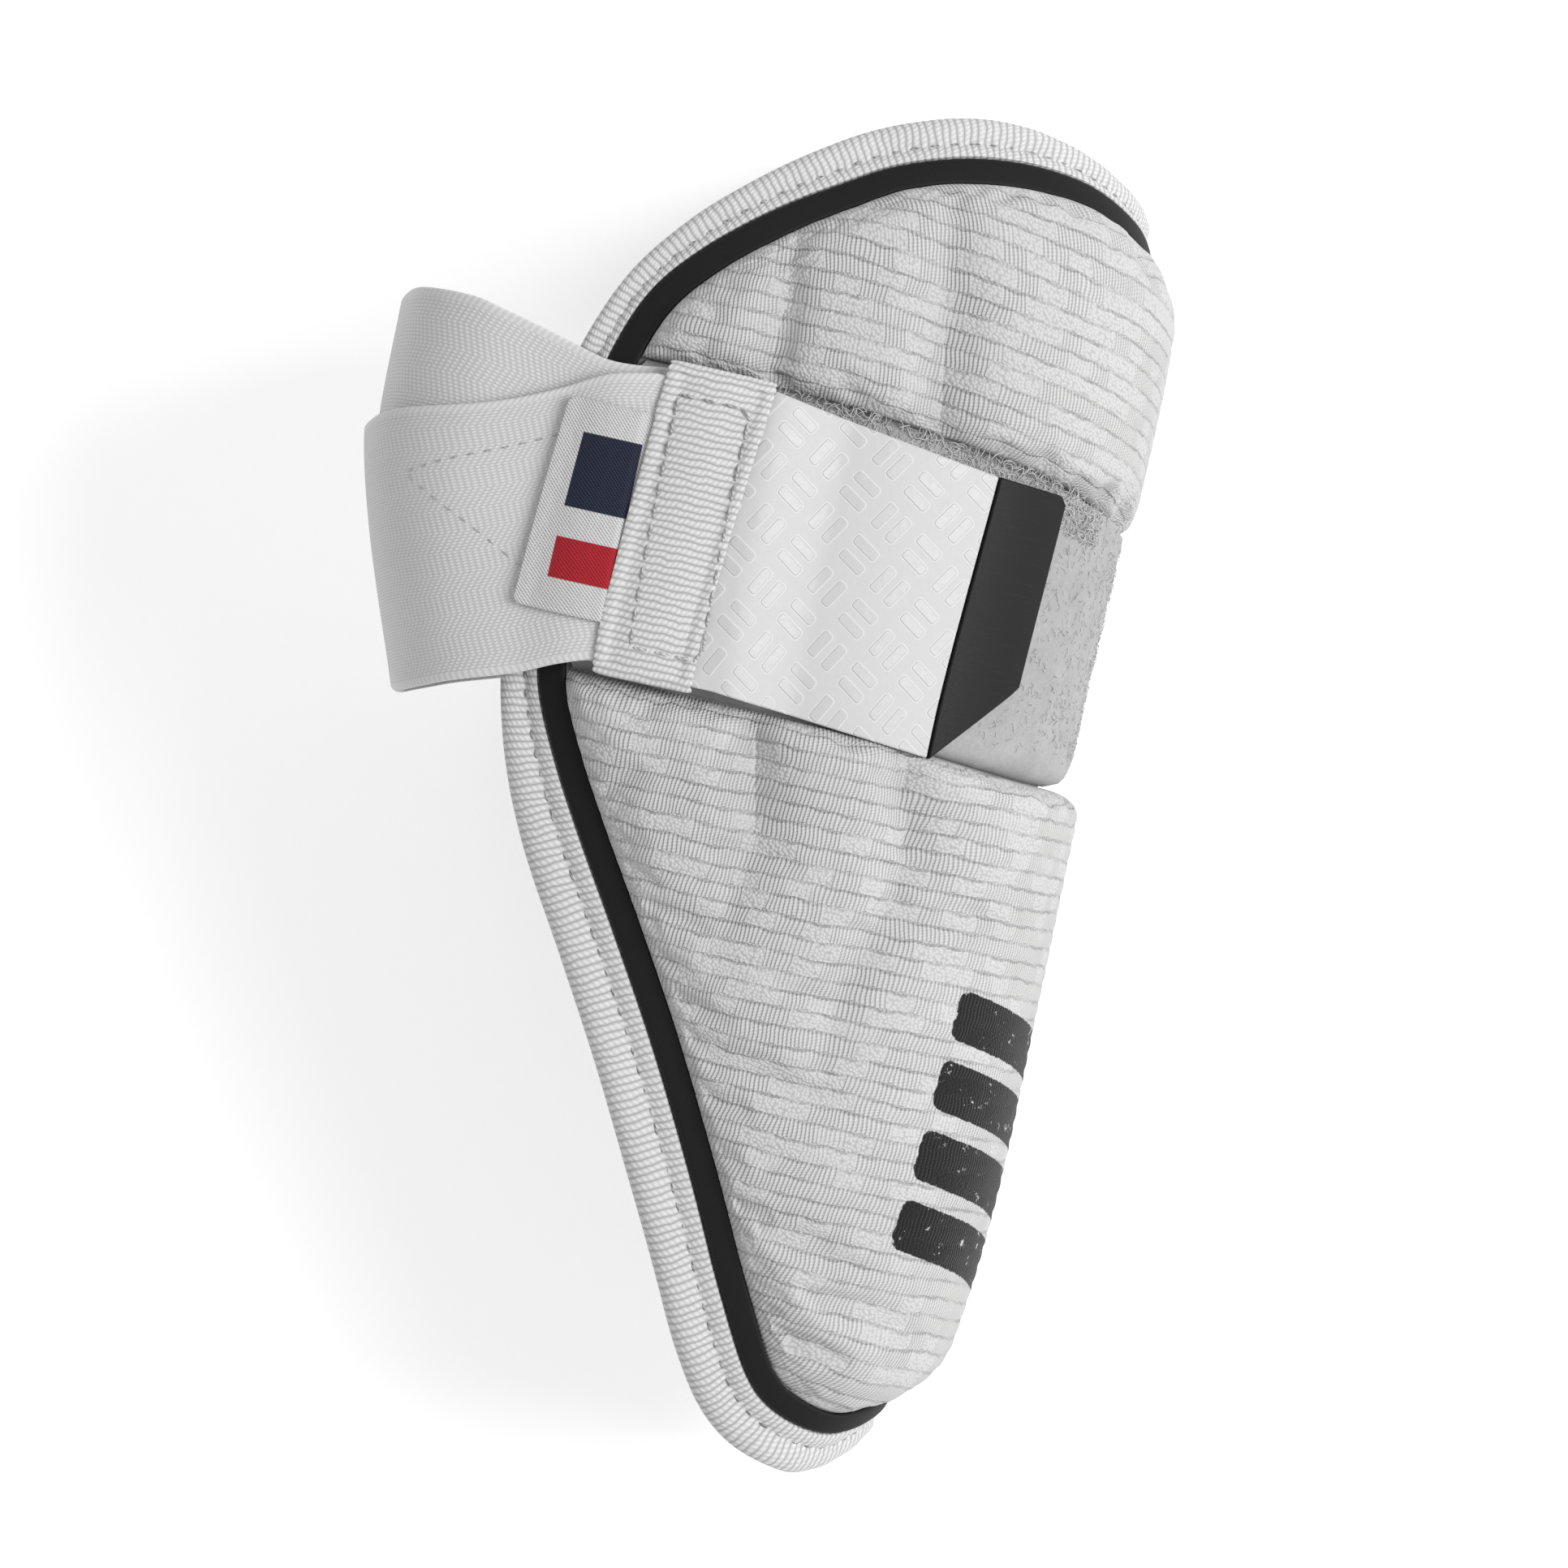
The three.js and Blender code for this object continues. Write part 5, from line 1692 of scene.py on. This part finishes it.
@dataclass
class Strap:
    """The elastic's two plies, the webbing sleeve, the label and the patch on the far flank."""

    reach: float = 62.8
    half_width: float = 47.0
    power: float = 4.0
    width: float = 50.0
    foot: float = 11.9
    thickness: float = 1.5
    ply_gap: float = 0.6
    webbing_wall: float = 0.9
    webbing_rib: float = 1.2
    webbing_front: float = -1.0
    webbing_length: float = 17.5
    sleeve_front: tuple[float, float] = (-3.0, -0.4)
    sleeve_rear: tuple[float, float] = (-19.2, -18.0)
    inner_end: float = -31.0
    anchor_rear: float = -23.0
    anchor_length: float = 18.0
    anchor_width: float = 52.5
    label_foot: float = 18.8
    label_width: float = 34.9
    label_length: float = 14.6
    label_thickness: float = 0.8
    label_tuck: float = 1.9
    seam_inset: float = 4.2

    def flank_angle(self, x: float) -> float:
        """The angle on the left flank at a distance from the arm's centre, towards the ridge."""
        return math.degrees(math.atan2(WRAP.half_width, x))

    def far_angle(self, x: float) -> float:
        """The same on the right flank."""
        return 360 - self.flank_angle(x)

    @property
    def front_angle(self) -> float:
        """The angle of the sleeve's front edge."""
        return self.flank_angle(self.webbing_front)

    @property
    def rear_angle(self) -> float:
        """The angle of the sleeve's rear edge."""
        return self.flank_angle(self.webbing_front - self.webbing_length)

    @property
    def middle_angle(self) -> float:
        """The angle half way along the sleeve."""
        return (self.front_angle + self.rear_angle) / 2

    def surface(self, angle: Array, y: Array) -> Array:
        """The strap's inner face: on the guard's flanks and in a squarer loop behind the arm."""
        turn = np.radians(angle)
        reach = self.reach * Curve.column(STRAP_BACK, 1).at(y / WRAP.half_length)
        across, side = np.abs(np.cos(turn)) / reach, np.abs(np.sin(turn)) / self.half_width
        radius = (across**self.power + side**self.power) ** (-1 / self.power)
        free = np.stack([radius * np.cos(turn), y + 0 * radius, radius * np.sin(turn)], -1)
        held = WRAP.over(angle, y, PILE_HEIGHT[1] + SEAT)
        away = np.abs(np.mod(angle + 360, 360) - 180)
        return mix(held, free, ease(62, 40, away)[..., None])

    def over(self, angle: Array, y: Array, height: Array) -> Array:
        """Points at a height above the strap's inner face."""
        return lifted(self.surface, angle, y, height)

    def shift(self, table: tuple, angle: Array) -> Array:
        """How far an edge of a ply has moved, which stays the same in front of its table."""
        away = 180 - np.abs(180 - angle)
        return Curve.column(table, 1).at(np.maximum(away, table[0][0]))

    def lift(self, angle: Array) -> Array:
        """The outer ply's height over the inner one."""
        outer = self.thickness + self.ply_gap
        sleeve = outer + self.webbing_wall + SEAT
        left = mix(outer, sleeve, ease(127, 116, angle))
        rear = self.far_angle(self.anchor_rear)
        end = self.far_angle(self.inner_end)
        return left * ease(rear - 1, end + 1, angle)

    def ply(self, name: str, node: str, start: float, end: float, outer: bool) -> Piece:
        """One ply of elastic round the back of the arm.

        Args:
            name: The piece's name.
            node: The CAD node that it stands for.
            start: The angle where it starts.
            end: The angle where it ends.
            outer: Whether it is the outer ply, which rises into the sleeve and slips down behind.

        Returns:
            The piece.
        """
        angle, share = np.meshgrid(np.linspace(start, end, 221), np.linspace(0, 1, 61))
        if outer:
            foot, top = self.shift(OUTER_FOOT, angle), self.shift(OUTER_TOP, angle)
        else:
            top = self.shift(INNER_TOP, angle)
            foot = -0.4 * top
        ripple = 0.16 * np.sin(angle / 3.3) * (2 * share - 1) ** 4
        y = self.foot + mix(foot, self.width + top, share)
        low = (self.lift(angle) if outer else 0 * angle) + ripple
        bottom, top = self.over(angle, y, low), self.over(angle, y, low + self.thickness)
        run = run_length(bottom[len(bottom) // 2])
        cloth = np.stack(np.broadcast_arrays(run, self.width * share), -1)
        piece, _ = grid_piece(name, LIE.down(top), cloth, LIE.down(bottom))
        soften(piece, 0.45, 3)
        dress(piece, WovenElastic(name=name + "_weave").material(), Slot.ELASTIC, (node,))
        return piece

    def scallop(self, along: Array) -> Array:
        """How far the webbing's ribs stand out of its selvedges, by millimetres along them."""
        return 0.28 * np.abs(np.sin(math.pi * along / self.webbing_rib))

    def sleeve(self) -> Piece:
        """The webbing folded round the strap and the tab's root, flattened by its stitching."""
        low = self.thickness + self.ply_gap
        slot_low = low + self.webbing_wall
        slot_high = slot_low + self.thickness + 2 * SEAT
        middle = (slot_low + slot_high) / 2
        half_tall = (slot_high - slot_low) / 2 + self.webbing_wall / 2
        half_wide = self.width / 2 + SEAT + self.webbing_wall / 2
        centre = self.foot + self.width / 2
        turn = np.linspace(0, math.tau, 141)
        wide, tall = squared_off(np.cos(turn), 0.16), squared_off(np.sin(turn), 0.5)
        around = np.linspace(0, math.tau, 57)
        along = squared_off(np.cos(around), 0.22)
        wall = squared_off(np.sin(around), 0.7) * self.webbing_wall / 2
        y = centre + (half_wide + wall[:, None]) * wide
        scallop = self.scallop(y - self.foot) * squared_off(along[:, None], 12)
        over = lambda a, b: self.over(a, b, slot_high)
        ends = (self.foot, self.foot + self.width)
        start, end = (
            np.interp(y, ends, [angle_at(x, at, over) for x, at in zip(edge, ends)])
            for edge in (self.sleeve_front, self.sleeve_rear)
        )
        per_mm = (end - start) / self.webbing_length
        angle = mix(start, end, (along[:, None] + 1) / 2) + scallop * per_mm
        stitched = np.exp(-(((np.abs(along) - 0.72) / 0.1) ** 2))[:, None]
        pinch = 0.55 * stitched * np.where(np.abs(wide) < 0.93, np.maximum(tall, 0), 0)
        height = middle + (half_tall + wall[:, None]) * tall - pinch
        points = self.over(angle, y, height)
        cloth = np.stack([y - self.foot + 0 * angle, (angle - start) / per_mm], -1)
        piece, _ = grid_piece("strap_webbing_sleeve", LIE.down(points), cloth)
        dress(
            piece,
            Grosgrain("grosgrain_webbing_polyester", rib=self.webbing_rib, pick=0.95).material(),
            Slot.TAPE,
            ("strap_webbing",),
        )
        return piece

    def label(self) -> Piece:
        """The woven label, caught under the sleeve's rear edge."""
        front = self.webbing_front - self.webbing_length + 1.4
        share, rise = np.meshgrid(np.linspace(0, 1, 41), np.linspace(0, 1, 71))
        length = self.label_length + self.label_tuck
        high = float(self.lift(np.array(self.rear_angle))) + self.thickness + SEAT
        over = lambda a, b: self.over(a, b, high)
        middle = self.label_foot + self.label_width / 2
        near, far = (angle_at(x, middle, over) for x in (front, front - length))
        angle = mix(near, far, share) + (far - near) * share * mix(0.12, -0.04, rise)
        corner = 0.8 * ease(0.95, 1.0, share) * (2 * rise - 1) ** 9
        y = self.label_foot + self.label_width * rise - corner
        under = ease(0.21, 0.14, share)
        curl = 0.35 * ease(0.8, 1.0, share)
        height = self.lift(angle) + self.thickness + SEAT + curl - 0.95 * under
        bottom, top = self.over(angle, y, height), self.over(angle, y, height + self.label_thickness)
        cloth = np.stack([length * (1 - share) - self.label_tuck, self.label_width * rise], -1)
        piece, _ = grid_piece("woven_side_label", LIE.down(top), cloth, LIE.down(bottom))
        soften(piece, 0.25)
        dress(piece, WovenLabel().material(), Slot.LABEL, ("side_label",))
        return piece

    def anchor(self) -> Piece:
        """The patch over the strap's end on the right flank."""
        start = self.far_angle(self.anchor_rear)
        end = self.far_angle(self.anchor_rear + self.anchor_length)
        foot = self.foot - (self.anchor_width - self.width) / 2
        share, rise = np.meshgrid(np.linspace(0, 1, 61), np.linspace(0, 1, 141))
        y = foot + self.anchor_width * rise
        scallop = self.scallop(y) * np.select([share < 0.02, share > 0.98], [-1, 1], 0)
        angle = mix(start, end, share) + scallop * (end - start) / self.anchor_length
        height = self.thickness + SEAT
        bottom, top = self.over(angle, y, height), self.over(angle, y, height + self.webbing_wall)
        cloth = np.stack([y - foot, self.anchor_length * share], -1)
        piece, _ = grid_piece("anchor_webbing", LIE.down(top), cloth, LIE.down(bottom))
        soften(piece, 0.25)
        dress(
            piece,
            Grosgrain("grosgrain_anchor_polyester", rib=self.webbing_rib, pick=0.95).material(),
            Slot.TAPE,
            ("anchor_patch",),
        )
        return piece

    def trace(
        self, corners: list[tuple[float, float]], height: Callable[[Array], Array]
    ) -> tuple[Array, Array]:
        """A stitch line over the strap.

        Args:
            corners: Its corners as angle and y.
            height: The cloth's height by angle.

        Returns:
            Points on the cloth, and points a millimetre above them.
        """
        table = np.array(corners, float)
        steps = np.linspace(0, len(table) - 1, 60 * (len(table) - 1) + 1)
        angle, y = (np.interp(steps, np.arange(len(table)), table[:, k]) for k in (0, 1))
        low = self.over(angle, y, height(angle))
        return low, self.over(angle, y, height(angle) + 1.0)

    def seams(self) -> None:
        """The stitches of the sleeve, the elastic and the patch."""
        per_mm = (self.rear_angle - self.front_angle) / self.webbing_length
        left, right = self.rear_angle - 3.3 * per_mm, self.front_angle + 2.6 * per_mm
        low, high = self.foot + self.seam_inset, self.foot + self.width - self.seam_inset
        wall = self.thickness + self.ply_gap + 2 * self.webbing_wall + self.thickness + 2 * SEAT
        on_sleeve = lambda angle: 0 * angle + wall - 0.1
        box = self.trace([(left, low), (left, high), (right, high), (right, low), (left, low)], on_sleeve)
        sleeve = Stitching(length=2.9, pitch=3.4, thickness=0.5).sew("sleeve_stitches", [box])
        dress(sleeve, Thread("sleeve_thread", dark="8C8C8C", light="C0C0C0").material(), Slot.TAPE)
        on_outer = lambda angle: self.lift(angle) + self.thickness
        apex, upper, lower = (146.0, 36.0), (117.0, 51.5), (126.0, 24.0)
        cross = [self.trace([apex, upper], on_outer), self.trace([apex, lower], on_outer)]
        elastic = Stitching(length=2.0, pitch=2.9, thickness=0.3, sink=0.06).sew("elastic_stitches", cross)
        dress(elastic, Thread("elastic_thread", dark="ACACAC", light="CACACA").material(), Slot.ELASTIC)
        start = self.far_angle(self.anchor_rear)
        end = self.far_angle(self.anchor_rear + self.anchor_length)
        a, b = start + 3.2, end - 3.2
        on_patch = lambda angle: 0 * angle + self.thickness + SEAT + self.webbing_wall - 0.05
        patch = self.trace([(a, low), (a, high), (b, high), (b, low), (a, low), (b, high)], on_patch)
        anchor = Stitching(length=2.9, pitch=3.4, thickness=0.5).sew("anchor_stitches", [patch])
        dress(anchor, Thread("anchor_thread").material(), Slot.TAPE)

    def build(self) -> None:
        """Builds the strap."""
        end = self.far_angle(self.inner_end)
        front = self.far_angle(self.anchor_rear + self.anchor_length)
        self.ply("strap_elastic_inner", "strap_inner", self.middle_angle, end, False)
        self.ply("strap_elastic_outer", "strap_outer", self.middle_angle + 0.5, front - 3, True)
        self.sleeve()
        self.label()
        self.anchor()
        self.seams()


@dataclass
class Tab:
    """The moulded hook tab and its black end."""

    strap: Strap
    thickness: float = 1.5
    line: tuple[tuple[float, float], ...] = ((37.6, 8.7), (38.8, 56.5))
    tip: tuple[tuple[float, float], ...] = ((50.0, 23.3), (50.7, 55.8))

    def lift(self, angle: Array) -> Array:
        """The tab's underside above the face."""
        strap = self.strap
        plies = strap.thickness + strap.ply_gap + strap.webbing_wall
        sleeve = PILE_HEIGHT[1] + plies + 2 * SEAT
        return mix(loop_height(angle) + SEAT, sleeve, ease(74, strap.front_angle - 1, angle))

    def over(self, angle: Array, y: Array) -> Array:
        """Points of the tab's outer face."""
        return WRAP.over(angle, y, self.lift(angle) + self.thickness)

    def plate(self, name: str, angle: Array, y: Array) -> Piece:
        """A plate on the loop pile.

        Args:
            name: The piece's name.
            angle: Its places' angles, in rows along the arm.
            y: Their heights.

        Returns:
            The piece.
        """
        top, bottom = self.over(angle, y), WRAP.over(angle, y, self.lift(angle))
        run = run_length(top[len(top) // 2])
        cloth = np.stack(np.broadcast_arrays(run, y), -1)
        piece, _ = grid_piece(name, LIE.down(top), cloth, LIE.down(bottom))
        soften(piece, 0.3, 3)
        return piece

    def build(self) -> None:
        """Builds the tab."""
        root = self.strap.middle_angle - 0.5
        line = [angle_at(x, y, self.over) for x, y in self.line]
        tip = [angle_at(x, y, self.over) for x, y in self.tip]
        share, rise = np.meshgrid(np.linspace(0, 1, 121), np.linspace(0, 1, 91))
        angle = mix(root, mix(line[0], line[1], rise), share)
        spread = np.clip((self.strap.front_angle - angle) / (self.strap.front_angle - line[1]), 0, 1)
        top = mix(self.strap.foot + self.strap.width, self.line[1][1], spread)
        foot = mix(self.strap.foot, self.line[0][1], spread)
        plate = self.plate("hook_tab_plate", angle, mix(foot, top, rise))
        dress(plate, MouldedTab().material(), Slot.TAB, ("hook_tab",))
        share, rise = np.meshgrid(np.linspace(0, 1, 41), np.linspace(0, 1, 61))
        angle = mix(mix(line[0], line[1], rise) - 0.36, mix(tip[0], tip[1], rise), share)
        rounded = 1.2 * ease(0.86, 1.0, share) ** 2
        top = mix(self.line[1][1], self.tip[1][1], share) - rounded
        foot = mix(self.line[0][1], self.tip[0][1], share) + 0.2 * rounded
        end = self.plate("tab_end_plate", angle, mix(foot, top, rise))
        dress(end, MouldedTabEnd().material(), Slot.TAB_END, ("tab_end",))


@dataclass
class Studio:
    """A pale floor, soft lights and the camera."""

    lean: float = 13.0
    centre: tuple[float, float, float] = (15.6, -0.7, 20.0)
    frame_width: float = 259.9
    lens: float = 600.0
    sensor: float = 36.0

    def floor(self) -> None:
        """The floor."""
        bm = bmesh.new()
        bmesh.ops.create_grid(bm, x_segments=8, y_segments=8, size=6.0)
        bmesh.ops.translate(bm, verts=bm.verts, vec=(0, 0, -0.0001))
        floor = in_scene("studio_floor", mesh_of(bm, "studio_floor"))
        floor.data.materials.append(StudioFloor().material())

    def camera(self) -> None:
        """The camera, square to the left flank and leaning as the photograph does."""
        lean = math.radians(self.lean)
        right = Vector((math.cos(lean), math.sin(lean), 0))
        up = Vector((-math.sin(lean), math.cos(lean), 0))
        axes = Matrix((right, up, right.cross(up))).transposed()
        turn = LIE.turn @ axes
        data = bpy.data.cameras.new("studio_camera")
        data.lens, data.sensor_width = self.lens, self.sensor
        distance = self.frame_width * self.lens / self.sensor * MM
        camera = in_scene("studio_camera", data)
        camera.matrix_world = turn.to_4x4()
        camera.location = Vector(LIE.down(np.array(self.centre))) + turn.col[2] * distance
        data.clip_end = 50.0
        bpy.context.scene.camera = camera

    def light(self, name: str, place: tuple[float, float, float], size: float, power: float) -> None:
        """A soft light that faces the guard.

        Args:
            name: Its name.
            place: Where it stands, in metres.
            size: Its side, in metres.
            power: Its power, in watts.
        """
        data = bpy.data.lights.new(name, "AREA")
        data.size, data.energy = size, power
        lamp = in_scene(name, data)
        lamp.location = place
        lamp.rotation_euler = (Vector((0, 0, 0.05)) - Vector(place)).to_track_quat("-Z", "Y").to_euler()

    def build(self) -> None:
        """Builds the studio."""
        self.floor()
        self.camera()
        self.light("key_light", (1.5, 0.35, 1.35), 1.0, 34.0)
        self.light("fill_light", (-1.0, 0.9, 1.5), 1.4, 5.0)
        self.light("foot_light", (0.1, -1.4, 0.9), 1.2, 2.2)
        world = bpy.data.worlds.new("studio_world")
        world.use_nodes = True
        world.node_tree.nodes["Background"].inputs["Color"].default_value = (1.0, 1.0, 1.0, 1.0)
        world.node_tree.nodes["Background"].inputs["Strength"].default_value = 0.45
        bpy.context.scene.world = world
        bpy.context.scene.view_settings.view_transform = "Standard"


def main() -> None:
    """Builds the guard and its studio."""
    logging.basicConfig(level=logging.INFO, format="%(name)s: %(message)s")
    Studio().build()
    strap = Strap()
    Shell().build()
    Pads().build()
    Channel().build()
    strap.build()
    Tab(strap).build()


if __name__ == "__main__":
    main()
